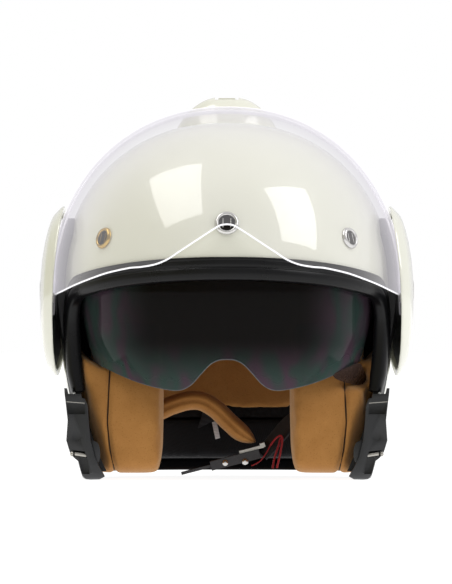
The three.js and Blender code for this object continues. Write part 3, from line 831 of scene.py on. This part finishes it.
def opening_path(inset, lowest, count):
    side = []
    for y, z in evenly(opening_edge(), 1400):
        if z >= lowest and abs(y - CENTRE) < section(z, inset)[1]:
            side.append((float(form_half_width(y, z, inset)), y, z))
    side = np.array(side)
    side[0, 0] = 0
    return evenly(np.vstack([side[::-1] * (-1, 1, 1), side[1:]]), count)


def rim_path(inset, front_end, count):
    ring = form_ring(RIM_HEIGHT, inset, 720)
    ring = np.roll(ring, 1, 0)
    return evenly(ring[ring[:, 1] > front_end], count)


FACE_BEAD = [(2.9, 10.1), (4.0, 9.9), (4.2, 8.6), (3.7, 8.1), (4.2, 7.5), (4.1, 4.4), (3.2, 3.3), (4.2, 2.6),
             (5.4, 2.2), (6.0, 0.6), (6.0, -1.8), (5.2, -4.2), (3.2, -5.9), (-3.4, -5.9), (-6.0, -3.6), (-6.0, 3.6),
             (-3.6, 4.0), (-3.5, -1.9), (2.9, -1.9)]
RIM_BEAD = [(2.9, 9), (4.2, 8.8), (4.8, 7), (5.2, -2), (5.0, -4.3), (3.6, -5.4), (-3.9, -5.4), (-5.6, -4.2),
            (-5.8, 3.4), (-3.4, 4.0), (-3.2, -1.4), (2.9, -1.4)]
MID_WALL = 2
JAW_SLIM = ((60, 74, 100, 125), (0.45, 0.9, 0.9, 0.6))
face_edging = edging("face_edging", opening_path(MID_WALL, 61.5, 300), rounded(FACE_BEAD), MID_WALL,
                     lambda p: Vector((p[0] * 0.2, p[1] + 120, p[2] - 92)), JAW_SLIM)
finish_piece(face_edging, RUBBER, stands_for=["face_trim"], crease=60)
rim_edging = edging("rim_edging", rim_path(MID_WALL, -33, 200), rounded(RIM_BEAD), MID_WALL,
                    lambda p: Vector((0, 0, 1)))
keep(rim_edging, box((-200, 200), (-200, 200), (0, 60)))
cut(rim_edging, slab("arch", curve((-106, -1), (-94, -1), (-96, 4), (-84, 4), count=12).tolist()
                     + curve((84, 4), (96, 4), (94, -1), (106, -1), count=12).tolist(), "y", 36, 200))
finish_piece(rim_edging, RUBBER, stands_for=["rim_trim"], crease=60)
print("the edgings have", len(face_edging.data.polygons) + len(rim_edging.data.polygons), "faces")

# %% [markdown]
# ## The clear visor
# It is one sheet moulded as a bubble about its axle, so it slides over the shell without touching. Its lower
# edge rises to a soft point over the middle stud. The faces cut across the sheet get the glowing edge finish, a
# painted highlight, and a thin glowing bead along the lower edge paints that line so it shows from far away too.

# %% The clear visor
VISOR_EDGE = [(0, 46.6), (4, 46), (8, 44), (15, 39.5), (27, 31.6), (34, 27), (41.5, 22.1), (50, 18.6), (60, 16.8),
              (68, 16.1), (80, 13.6), (89, 11), (105, 5), (118, -1), (130, -6)]
VISOR_WALL, EAR_RADIUS, EAR_HOLE = 2.2, 17, 8.4


def both_sides(points, fine=90):
    half = spline(points, fine)
    return np.vstack([half[::-1] * (-1, 1), half[1:]])


def lifted(points):
    return [(a, b + AXLE_HEIGHT) for a, b in points]


def ear_rod(radius):
    return rod("ear", radius, (-140, 0, AXLE_HEIGHT), (140, 0, AXLE_HEIGHT), 96)


def clear_visor():
    wall = cut(bubble(VISOR_SHAPE, 0), bubble(VISOR_SHAPE, VISOR_WALL))
    swept = slab("swept", lifted([(8, -2), (-200, -2), (-200, 200), (36, 200)]), "x", -160, 160)
    under = slab("under", lifted([*both_sides(VISOR_EDGE), (130, -90), (-130, -90)]), "y", -170, -18)
    outline = join(cut(swept, under), ear_rod(EAR_RADIUS))
    return cut(keep(wall, outline), ear_rod(EAR_HOLE))


def mark_edges(thing, shape, highlight_material):
    """Gives the faces that lie across the sheet the glowing finish of its cut edge: a painted highlight."""
    thing.data.materials.append(highlight_material)
    for face in thing.data.polygons:
        x, y, z = (c * 1000 for c in face.center)
        y -= AXLE_BACK
        power = float(roundness(shape, math.atan2(z - AXLE_HEIGHT, -y)))
        scale = [shape["half_width"], shape["reach"], shape["rise"]]
        radius = math.hypot(y / scale[1], (z - AXLE_HEIGHT) / scale[2])
        along = radius ** (power - 1) / max(radius, 1e-6)
        normal = Vector((signed_power(x / scale[0], power - 1) / scale[0], y / scale[1] ** 2 * along,
                         (z - AXLE_HEIGHT) / scale[2] ** 2 * along)).normalized()
        face.material_index = 1 if abs(normal.dot(face.normal)) < 0.93 and z > AXLE_HEIGHT - 1 else 0


def cord(name, line, radius, sides=10, closed=False):
    """A round cord along points in space."""
    line = [Vector(p) for p in line]
    count = len(line)
    rings, side = [], None
    for i, point in enumerate(line):
        before, after = (i - 1, (i + 1) % count) if closed else (max(i - 1, 0), min(i + 1, count - 1))
        along = (line[after] - line[before]).normalized()
        side = (side - along * side.dot(along)).normalized() if side else along.orthogonal().normalized()
        other = along.cross(side)
        rings.append([point + (side * math.cos(t) + other * math.sin(t)) * radius
                      for t in np.linspace(0, 2 * math.pi, sides, endpoint=False)])
    return skin(name, rings, close_rows=closed)


def edge_line(shape, edge, widest, inset=1.1):
    """The lower edge of a visor, in the middle of its wall."""
    line = []
    for x, up in evenly(both_sides(edge, 200), 420):
        z = AXLE_HEIGHT + up
        near, far = -shape["reach"] + inset, 4.0
        for _ in range(40):
            middle = (near + far) / 2
            if bubble_half_width(shape, inset, middle, z) < abs(x):
                near = middle
            else:
                far = middle
        if abs(x) < widest and near < -8:
            line.append((x, near, z))
    return line


visor = clear_visor()
# A thin glowing cord along the visor's lower edge: a painted highlight line.
highlight_bead = cord("visor_edge", edge_line(VISOR_SHAPE, VISOR_EDGE, 121.5), 0.62, 12)
finish_piece(highlight_bead, CLEAR_EDGE_HIGHLIGHT, "clear_visor", crease=80)
visor.name = "visor"
finish_piece(visor, CLEAR, "clear_visor", ["clear_visor"])
mark_edges(visor, VISOR_SHAPE, CLEAR_EDGE_HIGHLIGHT)
print("the visor has", len(visor.data.polygons), "faces")

# %% [markdown]
# ## The smoked inner visor
# A second bubble on the same axle, inside the shell. Its lower edge follows the nose between two round lobes.
# The tab that pulls it down is a brown tongue beside the lobe on the wearer's left. It lies on a wider bubble
# of its own, because the lens has already turned inwards there.

# %% The smoked inner visor
SUN_EDGE = [(0, -47.6), (6, -48.2), (12, -51.4), (18.5, -58.2), (25.6, -65.8), (34, -69.4), (47, -68), (62, -64),
            (77, -58), (93, -50), (103, -42), (112, -30)]
TAB_OUTLINE = [(74, -58.5), (76, -61.5), (80, -63.4), (86, -65), (93, -66.8), (98, -65.8), (99.2, -61.5),
               (96, -53.5), (93.5, -50), (84, -54.4)]
SUN_WALL, TAB_WALL = 2, 2.4


def sun_visor():
    wall = cut(bubble(SUN_SHAPE, 0), bubble(SUN_SHAPE, SUN_WALL))
    lens = slab("lens", lifted([(-112, 20), *both_sides(SUN_EDGE), (112, 20)]), "y", -140, -34)
    arm = slab("arm", lifted([(-37, 20), (-37, -22), (-6, -9), (6, -9), (6, 9), (-6, 9)]), "x", -160, 160)
    end = rod("end", 10, (-120, 0, AXLE_HEIGHT), (120, 0, AXLE_HEIGHT), 64)
    hole = rod("hole", 4.5, (-120, 0, AXLE_HEIGHT), (120, 0, AXLE_HEIGHT), 48)
    return cut(keep(wall, join(lens, arm, end)), hole)


def pull_tab():
    wall = cut(bubble(TAB_SHAPE, 0), bubble(TAB_SHAPE, TAB_WALL))
    return keep(wall, slab("tab", lifted(rounded(TAB_OUTLINE, 3)), "y", -140, -20))


inner_visor = sun_visor()
inner_visor.name = "inner_visor"
finish_piece(inner_visor, SMOKE, "sun_visor", ["sun_visor"])
# A pale grey cord along the lower edge paints the highlight that the edge catches.
rim_light = cord("inner_visor_edge", edge_line(SUN_SHAPE, SUN_EDGE, 100, 0.8), 0.55, 10)
finish_piece(rim_light, SMOKE_EDGE_HIGHLIGHT, "sun_visor", crease=80)
tab = pull_tab()
tab.name = "inner_visor_tab"
finish_piece(tab, TAB_TINT, "sun_visor")
print("the inner visor has", len(inner_visor.data.polygons), "faces")

# %% [markdown]
# ## Side pods
# Each pod is a hollow teardrop over the visor's ear. Its rings are lofted from the middle of the outer face,
# over a firm shoulder, round the rim, and back along the inside, so it is one closed shell with a real gap for
# the visor behind it. The lining under it is black, but pearl above the axle, where it shows through the visor:
# the pearl there is a painted sheen, standing for the visor's milky look over it.


# %% Side pods
def pod_outline(share, count=120):
    turn = np.arange(count) / count * 2 * math.pi
    behind = np.cos(turn) > 0
    reach = np.where(behind, 84, 52)
    droop = np.where(behind, 1 - 0.3 * np.cos(turn) ** 2, 1)
    return share * reach * np.cos(turn), share * 60 * droop * np.sin(turn)


def shield(name, profile):
    """Rings of (share of the outline, height off the visor, height off the shell)."""
    rings = []
    for share, off_visor, off_shell in profile:
        y, up = pod_outline(max(share, 1e-4))
        z = AXLE_HEIGHT + up
        across = np.maximum(bubble_half_width(VISOR_SHAPE, -off_visor, y, z), form_half_width(y, z, -off_shell))
        rings.append(np.stack([across, y, z], 1))
    return skin(name, rings)


POD_SKIN = [(0, 7.4, 4), (0.2, 7.4, 4), (0.4, 7.4, 4), (0.6, 7.4, 4), (0.74, 7.35, 4), (0.84, 7.1, 4),
            (0.885, 6.7, 4), (0.915, 6.0, 3.9), (0.95, 4.9, 3.6), (0.985, 3.8, 2.9), (1.0, 3.0, 2.4),
            (1.003, 2.4, 1.8), (0.998, 1.9, 1.0), (0.985, 1.7, 0.8), (0.95, 1.7, 0.8), (0.935, 2.8, 0.9),
            (0.915, 3.8, 1.0), (0.86, 4.7, 1.2), (0.8, 5.1, 1.2), (0.6, 5.2, 1.2), (0.4, 5.2, 1.2),
            (0.2, 5.2, 1.2), (0, 5.2, 1.2)]
POD_LINING = [(0, 3.4, 0), (0.3, 3.4, 0), (0.6, 3.4, 0), (0.86, 3.4, 0), (0.885, 3.1, 0), (0.892, 2.6, 0),
              (0.888, 1.8, 0), (0.86, 1.6, 0), (0.6, 1.6, 0), (0.3, 1.6, 0), (0, 1.6, 0)]
PEARL_SHEEN_FROM = 0.137

pod = shield("pod", POD_SKIN)
cut(pod, rod("hole", 9.4, (100, 0, AXLE_HEIGHT), (160, 0, AXLE_HEIGHT), 64))
finish_pair(pod, "pod", PEARL, "pod_cover", crease=40)
lining = shield("pod_lining", POD_LINING)
cut(lining, form(-CLEARANCE), box((90, 160), (42, 120), (0, 260)))
# Pearl on the lining above this height is painted sheen, for the visor's milky look over it.
for half in finish_pair(lining, "pod_lining", DEEP_PLASTIC, "pod_liner"):
    half.data.materials.append(PEARL)
    for face in half.data.polygons:
        face.material_index = 1 if face.center.z > PEARL_SHEEN_FROM else 0
for side in ("left", "right"):
    repaint(frame["nodes"][f"pivot_plate_{side}"], DEEP_PLASTIC)
    for node in ("pivot_bush", "sun_visor_pin", "strap_anchor"):
        repaint(frame["nodes"][f"{node}_{side}"], STEEL)


def pod_screw():
    outer, inner, half_slot = 132.7, 128.8, 0.9
    profile = [(0, outer), (5.5, outer), (7.6, outer - 0.25), (8.7, outer - 0.9), (9, outer - 1.6), (9, inner),
               (0, inner)]
    screw = spun("screw", profile, Vector((0, 0, AXLE_HEIGHT)), *(Vector(v) for v in np.eye(3)), 72)
    return cut(screw, box((131.5, 150), (-6, 6), (AXLE_HEIGHT - half_slot, AXLE_HEIGHT + half_slot)))


finish_pair(pod_screw(), "pod_screw", STEEL, "pivot_screw")
print("each pod has", len(pod.data.polygons), "faces")

# %% [markdown]
# ## Press studs
# Three stud sockets for a peak stand on the brow. A socket is a turned ring with a rolled lip round a dark cup,
# and across the cup lie the two wires of its spring. Ring and cup are spun from their profiles about a line that
# stands square on the paint. The middle socket is a little wider than the others.


# %% Press studs
RING = [(5.0, 0.1), (5.0, 0.9), (5.15, 1.5), (5.5, 1.95), (6.0, 2.15), (6.6, 2.0), (7.2, 1.4), (7.65, 0.6),
        (7.75, 0.15), (7.6, 0.0), (5.1, 0.0)]
CUP = [(0, 0.15), (4.9, 0.15), (4.9, 0.75), (4.6, 0.9), (4.2, 0.55), (2.6, 0.45), (2.3, 0.95), (0, 1.05)]


def stud(name, x, z, ring_metal, node, scale=1.0):
    y = CENTRE - float(section(z, 0)[1])
    while form_field((x, y, z), 0) > 0:
        y += 0.02
    out = form_normal((x, y, z), 0)
    foot = Vector((x, y, z)) + out * 0.3
    side = out.cross(Vector((0, 0, 1))).normalized()
    up = side.cross(out)
    ring = spun(name, np.array(RING) * scale, foot, out, side, up, 64)
    finish_piece(ring, ring_metal, stands_for=[node], crease=50)
    cup = spun(name + "_cup", np.array(CUP) * scale, foot, out, side, up, 64)
    finish_piece(cup, CUP_METAL, crease=50)
    for hand, offset in (("right", -2.4), ("left", 2.4)):
        middle = foot + out * 0.98 * scale + side * offset * scale
        wire = rod(f"{name}_spring_{hand}", 0.28, middle - up * 3.4, middle + up * 3.4, 12)
        finish_piece(wire, ring_metal, crease=60)


CUP_METAL = metal("cup_metal", (0.022, 0.019, 0.017), 0.5)
WIDER = 1.14
stud("stud_centre", 0, 180, CHROME, "brow_snap_centre", WIDER)
stud("stud_left", 86, 170, CHROME, "brow_snap_left")
stud("stud_right", -86, 170, BRASS, "brow_snap_right")
print("three studs,", 2 * max(radius for radius, _ in RING), "mm across, the middle one", WIDER, "times as wide")

# %% [markdown]
# ## Crown vent
# The hood over the crown's air outlet swells out of the shell, and its mouth faces backwards. A black grille
# sits in the mouth, and a slider on top opens the duct.


# %% Crown vent
HOOD_FRONT, HOOD_REAR, HOOD_FOOT, HOOD_TOP, HOOD_PEAK = 23, 104, 249, 271.6, 0.36


def vent_section(y):
    share = (y - HOOD_FRONT) / (HOOD_REAR - HOOD_FRONT)
    rise = math.sin(min(1, share / HOOD_PEAK) * math.pi / 2) ** 1.3
    fall = max(0.0, (share - HOOD_PEAK) / (1 - HOOD_PEAK)) ** 1.6
    height = HOOD_FOOT + (HOOD_TOP - HOOD_FOOT) * rise - 20 * fall
    half = spline([(0, 0), (9, 0.4), (17, 3), (25, 8.5), (31, 15), (37, 26), (40, 44)], 54)
    right = [(x * (0.72 + 0.28 * rise) * (1 - 0.12 * fall), y, height - drop) for x, drop in half]
    return right + [(-x, y, z) for x, y, z in reversed(right[1:])]


hood = skin("hood", [vent_section(y) for y in np.linspace(HOOD_FRONT, HOOD_REAR, 60)])
cut(hood, form(-CLEARANCE), box((-17, 17), (88, 130), (239, 249.5)), box((-8.4, 8.4), (46, 72), (265.7, 290)))
ease(hood, 0.5, 2, 40)
finish_piece(hood, PEARL, stands_for=["crown_vent_hood"], crease=50)
hood.name = "vent_hood"
for name, body, material, slot in (("vent_grille", "helmet", PLASTIC, "black_plastic"),
                                   ("vent_slider", "vent_slider", PEARL, "pearl_paint")):
    part = ease(from_node(name, f"crown_{name}"), 0.35, 2)
    finish_piece(part, material, body, [f"crown_{name}"])
print("the hood has", len(hood.data.polygons), "faces")

# %% [markdown]
# ## Jaw catches
# A chin guard can hook on to the black block at the front of each jaw. The block is moulded with a top bridge,
# a deep slot with a thin rod across it, a long slanting ridge with a dimple beside it, and a pocket that holds
# the steel bar of the hook. A rounded tab stands inside it. One slab, cut by other slabs, makes the block.

# %% Jaw catches
CATCH_FACE = [(114.4, 64.6), (114, 60), (113.4, 55.4), (111.9, 42.2), (112.9, 28), (110.5, 19.9), (107.5, 15.8),
              (104.4, 13.3), (101.8, 3.6), (99.4, 0.6), (96, 0.2), (89.5, 0.4), (86.0, 2.4), (90, 10), (92.7, 16),
              (95.8, 28), (97.1, 41.2), (97.8, 52.3), (99.8, 57.2), (102, 57.8), (102.4, 60.5), (111.8, 60.5),
              (112.8, 64.4)]
CATCH_SIDE = [(-42, 0), (-62, 0), (-70.5, 7), (-70.5, 60), (-66, 66), (-42, 66)]
BRIDGE_SLOT = [(99.6, 46.4), (99.9, 53.8), (112.6, 53.8), (111.4, 46.4)]
LOW_FACE = [(120, 40), (108.5, 41.5), (104, 33), (99.5, 19), (92.6, -2), (120, -4)]
BAR_POCKET = [(98.6, 15.2), (97.0, 8), (96.4, 4.2), (101.6, 4.4), (103.6, 12.4), (103.9, 15.8)]
RIDGE_CREASE = [(106.4, 46.5), (110.8, 44), (109.6, 31), (107.2, 21.6), (102.8, 21.8), (100.4, 30)]
TAB_FACE = [(95.2, 28), (91, 26.8), (89.3, 23), (88.9, 17.6), (89.8, 12.8), (92, 12.2), (92.6, 14), (95.6, 26)]


def jaw_catch():
    block = slab("catch", CATCH_FACE, "y", -70, -43)
    keep(block, slab("side", rounded(CATCH_SIDE, 2, 0.15), "x", 60, 140))
    cut(block, cut(form(-CLEARANCE), form(SHELL_WALL + CLEARANCE), opening_cutter(-CLEARANCE)))
    for outline, depth in ((BRIDGE_SLOT, -60), (LOW_FACE, -68.2), (BAR_POCKET, -63), (RIDGE_CREASE, -69.1)):
        cut(block, slab("hollow", outline, "y", -90, depth))
    cut(block, rod("dimple", 3.2, (105.4, -71, 30.6), (105.4, -67.4, 30.6), 40))
    cut(block, rod("seat", 2.1, (92.5, -67.6, 17.2), (112, -67.6, 19.6), 24))
    return ease(block, 0.7, 3)


def catch_tab():
    return ease(slab("tab", rounded(TAB_FACE, 2), "y", -66.8, -62), 0.6, 2)


def jaw_rod(name, radius, start, end, sides, edge=0.0, node=None):
    finish_pair(rod("bar", radius, start, end, sides, edge), name, STEEL, node)


catch = jaw_catch()
finish_pair(catch, "jaw_block", CATCH_PLASTIC, "jaw_catch", crease=30)
finish_pair(catch_tab(), "jaw_tab", CATCH_PLASTIC, "catch_tab")
jaw_rod("jaw_bar", 1.4, (98.6, -67.8, 17.3), (107.0, -67.8, 18.6), 32, 0.3, "catch_bar")
jaw_rod("jaw_bar_head", 1.8, (107.8, -68.4, 18.4), (109.8, -67.9, 18.7), 32, 0.5)
jaw_rod("jaw_slot_rod", 0.65, (99.9, -69.4, 54.2), (112.9, -69.4, 55.2), 24)
print("each jaw block has", len(catch.data.polygons), "faces")

# %% [markdown]
# ## Padding
# The pads are foam blocks in sewn suede covers. Each starts as a cut solid, a little smaller than the real one,
# and is then blown up as cloth: the faces crown and the edges pull round, as a sewn cover does over foam. The
# cloth is never allowed to move further than a few millimetres from where it began. The left pad leaves room for
# the path of the inner visor's tab. Then the cover is drawn in along the seam, and a dark cord is laid there.


# %% Padding
def remesh(thing, size):
    step = thing.modifiers.new("even", "REMESH")
    step.mode = "VOXEL"
    step.voxel_size = size * 0.001
    return settle(thing)


def relax(thing, times, factor=0.5):
    step = thing.modifiers.new("relaxed", "SMOOTH")
    step.iterations = times
    step.factor = factor
    return settle(thing)


def blow_up(thing, most, pressure=4.0, frames=20):
    """Swells a closed cover with cloth simulation, at most so many millimetres."""
    start = points_of(thing)
    cloth = thing.modifiers.new("cover", "CLOTH")
    cloth.settings.quality = 5
    cloth.settings.use_pressure = True
    cloth.settings.uniform_pressure_force = pressure
    cloth.settings.effector_weights.gravity = 0
    cloth.settings.tension_stiffness = cloth.settings.compression_stiffness = 20
    cloth.settings.bending_stiffness = 2
    cloth.point_cache.frame_end = frames
    for number in range(1, frames + 1):
        bpy.context.scene.frame_set(number)
    graph = bpy.context.evaluated_depsgraph_get()
    swollen = np.array([v.co for v in thing.evaluated_get(graph).data.vertices])
    thing.modifiers.clear()
    bpy.context.scene.frame_set(1)
    move = swollen - start
    reach = np.linalg.norm(move, axis=1, keepdims=True)
    limit = most * 0.001
    move *= limit * np.tanh(reach / limit) / np.maximum(reach, 1e-9)
    return move_to(thing, start + move)


def seam_x(z):
    """How far out the piping of a cheek pad runs at height z."""
    return float(np.interp(z, [0, 8, 20, 40, 76, 115], [78.5, 79.6, 82.2, 84.2, 82.6, 80.5]))


PAD_SIDE = [(-56, 4.6), (10, 4.6), (30.2, 15), (30.2, 110), (-26, 110), (-38, 99), (-46.6, 80), (-55, 60),
            (-60, 38)]
PAD_BEVEL = [(93, -80), (97, -44), (97, -34), (140, -34), (140, -92), (93, -92)]
PAD_INSET = 7.6


def cheek_pad(tabbed):
    """One pad on the +X side. The one beside the pull tab also leaves room for the tab's path."""
    pad = keep(form(PAD_INSET, 96, 24, 18), slab("profile", rounded(PAD_SIDE, 3, 0.18), "x", 47, 150))
    cut(pad, slab("bevel", PAD_BEVEL, "z", -5, 64))
    lowered = [(x, AXLE_HEIGHT - 2.6 + z) for x, z in both_sides(SUN_EDGE, 40)]
    sweep = slab("sweep", [*lowered, (130, 230), (-130, 230)], "y", -160, 60)
    cut(pad, cut(sweep, bubble(SUN_SHAPE, 4.6, 40, 80)))
    if tabbed:
        cut(pad, cut(box((69, 99.6), (-160, 0), (64.5, 110)), bubble(TAB_SHAPE, 4.4, 40, 80)))
    remesh(pad, 2.6)
    relax(pad, 14)
    blow_up(pad, 3.2)
    relax(pad, 2)
    return subdivide(pad, 1)


def press_seam(pad, depth=2.0, width=1.9):
    """Pulls the cover in along its piping."""
    normals, points = normals_of(pad), points_of(pad)
    away = np.array([abs(abs(p[0]) * 1000 - seam_x(p[2] * 1000)) for p in points])
    upright = 1 - np.abs(normals[:, 0])
    pull = depth * np.exp(-(away / width) ** 2) * np.clip(upright * 2.2, 0, 1)
    move_to(pad, points - normals * pull[:, None] * 0.001)


def piping(pad, name):
    """A cord sewn round the pad, where its two panels meet."""
    tree = BVHTree.FromObject(pad, bpy.context.evaluated_depsgraph_get())
    low, high = [Vector(c) for c in (np.array(pad.bound_box).min(0), np.array(pad.bound_box).max(0))]
    middle_y, middle_z = (low.y + high.y) / 2, (low.z + high.z) / 2
    loop = []
    for i in range(160):
        turn = 2 * math.pi * i / 160
        z_guess = middle_z + 0.05 * math.sin(turn)
        for _ in range(3):
            aim = Vector((seam_x(z_guess * 1000) * 0.001, middle_y, middle_z))
            outward = Vector((0, math.cos(turn), math.sin(turn)))
            hit = tree.ray_cast(aim + outward * 0.2, -outward)[0]
            if hit is None:
                break
            z_guess = hit.z
        if hit is not None:
            loop.append(hit)
    loop = np.array(loop)
    for _ in range(3):
        loop = (np.roll(loop, 1, 0) + 2 * loop + np.roll(loop, -1, 0)) / 4
    return cord(name, loop * 1000 - (0, AXLE_BACK, 0), 0.6, 10, closed=True)


for side in ("left", "right"):
    pad = cheek_pad(tabbed=side == "left")
    press_seam(pad)
    seam = piping(pad, "seam")
    if side == "right":
        flipped(pad.data)
        flipped(seam.data)
    pad.name, seam.name = "cheek_cushion_" + side, "cheek_piping_" + side
    finish_piece(pad, SUEDE, stands_for=[f"cheek_pad_{side}"], crease=80)
    finish_piece(seam, SEAM, crease=80)
    print(pad.name, "has", len(pad.data.polygons), "faces and is", round(pad.dimensions.z * 1000), "mm high")

# %% [markdown]
# ## Crown liner and neck roll
# The crown liner is a bowl of thin quilted suede, and the neck roll a black sleeve of foam behind the nape.
# Both are cut from the helmet's own form. The quilting is pressed into the bowl along a few meridians.


# %% Crown liner and neck roll
BOWL_SIDE = [(-112, 156), (-44, 140), (-30, 122), (33.5, 115), (36, 64), (74, 51), (160, 46), (160, 260),
             (-112, 260)]
ROLL_SIDE = [(63, 12.5), (158, 12.5), (158, 40.4), (63, 40.4)]


def crown_liner():
    bowl = keep(form(35.2, 120, 36, 30), slab("side", BOWL_SIDE, "x", -160, 160))
    cut(bowl, form(40.6, 120, 36, 30))
    remesh(bowl, 2.6)
    relax(bowl, 5)
    points = points_of(bowl)
    turn = np.arctan2(points[:, 0] * 1000, (points[:, 1] * 1000 - AXLE_BACK - CENTRE))
    channels = np.exp(-(np.abs((turn * 6 / math.pi + 0.5) % 1 - 0.5) / 0.06) ** 2)
    return move_to(bowl, points - normals_of(bowl) * 1.5 * channels[:, None] * 0.001)


def neck_roll():
    side = rounded(ROLL_SIDE, 3, 0.16)
    roll = keep(form(PAD_INSET, 120, 8, 30), slab("side", side, "x", -160, 160))
    cut(roll, form(33.4, 120, 8, 30))
    remesh(roll, 3)
    relax(roll, 5)
    return subdivide(roll, 1)


bowl = finish_piece(crown_liner(), SUEDE, stands_for=["crown_liner"], crease=80)
bowl.name = "crown_padding"
roll = finish_piece(neck_roll(), KNIT, stands_for=["neck_roll"], crease=80)
roll.name = "neck_cushion"
print("the crown liner has", len(bowl.data.polygons), "faces")

# %% [markdown]
# ## Chin strap
# The strap lies folded inside the helmet: on one side a plump suede sleeve with a seam along its fold, on the
# other plain webbing up to the ratchet buckle, whose red ribbon and thread hang out. Each is a cross-section
# swept along its middle line. The sleeve closes to a round tip, and the left webbing leans to show its face.


# %% Chin strap
STRAP_BACK, STRAP_WIDTH = 46, 22


def band(name, line, thick, width, y=STRAP_BACK, fold=0.0, tip=0.0, power=6, lean=0.0):
    """A flat or plump strip along (x, z) points. fold presses a seam into its front edge."""
    steps = 90
    path = spline(line, steps)
    turns = np.linspace(0, 2 * math.pi, 40, endpoint=False)
    rings = []
    length = np.concatenate([[0], np.cumsum(np.linalg.norm(np.diff(path, axis=0), axis=1))])
    for i, (x, z) in enumerate(path):
        along = path[min(i + 1, steps - 1)] - path[max(i - 1, 0)]
        along /= np.linalg.norm(along)
        up = (-along[1], along[0])
        close = 1.0
        if tip and length[-1] - length[i] < tip:
            close = math.sqrt(max(0.0004, 1 - (1 - (length[-1] - length[i]) / tip) ** 2))
        a = signed_power(np.sin(turns), 2 / power) * thick / 2 * (0.35 + 0.65 * close) * close
        b = -signed_power(np.cos(turns), 2 / power) * width / 2 * close
        a, b = a * math.cos(lean) + b * math.sin(lean), b * math.cos(lean) - a * math.sin(lean)
        notch = fold * np.exp(-(np.sin(turns) / 0.16) ** 2) * (np.cos(turns) > 0) * close
        rings.append(np.stack([x + up[0] * a, y + b + notch, z + up[1] * a], 1))
    return skin(name, rings)


SLEEVE = [(-58, 44), (-50, 46.5), (-40, 51), (-28, 54.5), (-18, 54.2), (-8, 48.6), (1, 40), (10, 32), (20.6, 25)]
LEFT_WEBBING = [(24.6, 16.4), (31, 22.5), (38, 31), (46, 39.5), (56, 45), (69, 47)]
RIGHT_WEBBING = [(-69, 47), (-61, 47.2), (-53, 49), (-46, 52)]
RIBBON = [(31, 23), (34.5, 27.6), (38, 30), (39.6, 27.5), (38.2, 18), (36.6, 11), (35.6, 6.8)]
RIBBON_BACK = [(38.4, 28.5), (36.6, 22), (34, 14), (32.6, 6.6)]
PULL_THREAD = [(31, 23), (29, 19), (26, 14.5), (22.7, 11), (17.5, 8.4)]

sleeve = band("strap_cover", SLEEVE, 13.5, 27, fold=1.6, tip=16, power=2.4)
finish_piece(sleeve, SUEDE, "chin_strap", ["strap_sleeve"], crease=80)
for side, line, lean in (("left", LEFT_WEBBING, 0.45), ("right", RIGHT_WEBBING, 0.0)):
    webbing = band("webbing_" + side, line, 2.4, STRAP_WIDTH, lean=lean)
    finish_piece(webbing, WEBBING, "chin_strap", [f"strap_webbing_{side}"], crease=60)
pull = band("red_pull", RIBBON, 1.5, 8, y=29)
finish_piece(pull, RED_RIBBON, "buckle_lever", ["pull_ribbon"], crease=60)
back = band("red_pull_fold", RIBBON_BACK, 1.5, 8, y=31)
finish_piece(back, RED_RIBBON, "buckle_lever", crease=60)
thread = cord("red_thread", [(x, 31, z) for x, z in spline(PULL_THREAD, 40)], 0.45)
finish_piece(thread, RED_RIBBON, "buckle_lever", crease=80)
buckle = ease(from_node("buckle", "buckle_body"), 1.3, 4)
finish_piece(buckle, PLASTIC, "chin_strap", ["buckle_body"])
lever = ease(from_node("lever", "buckle_lever"), 0.6, 3)
finish_piece(lever, STEEL, "buckle_lever", ["buckle_lever"])
tongue = ease(from_node("tongue", "ratchet_tongue"), 0.35, 2)
finish_piece(tongue, PLASTIC, "chin_strap", ["ratchet_tongue"])


RIVET = [(0, -1.5), (1.1, -1.35), (1.9, -0.9), (2.4, -0.1), (2.4, 0.4), (0, 0.4)]


def rivet(name, x, z):
    """A domed rivet head on the front edge of the buckle."""
    right, back, up = (Vector(v) for v in np.eye(3))
    head = spun(name, RIVET, Vector((x, STRAP_BACK - 12, z)), back, right, up, 32)
    finish_piece(head, CHROME, "chin_strap", crease=60)


rivet("buckle_rivet_right", -1.2, 10.4)
rivet("buckle_rivet_left", 13, 11.4)
print("the strap is", len(sleeve.data.polygons), "faces of suede and two lengths of webbing")

# %% [markdown]
# ## Care label
# A blank white label is sewn to a black tag that hangs from the top of the neck roll.


# %% Care label
def neck_front(x, z):
    half, _, rear, power = section(z, 34)
    return float(CENTRE + rear * (1 - (abs(x) / half) ** power) ** (1 / power))


def tag(name, corners, thick, off, material):
    outer = [(x, neck_front(x, z) - off - thick, z) for x, z in corners]
    inner = [(x, neck_front(x, z) - off, z) for x, z in corners]
    piece = skin(name, [outer, inner])
    finish_piece(ease(piece, 0.2, 2), material)


tag("label_tag", [(-21, 34), (-6, 41), (-3.5, 51), (-17, 47)], 0.8, 2.4, WEBBING)
tag("care_label", [(-8.2, 26.2), (-4.8, 27.2), (-7.4, 39.4), (-10.8, 38.4)], 0.6, 4.0, LABEL)
print("the label is on")
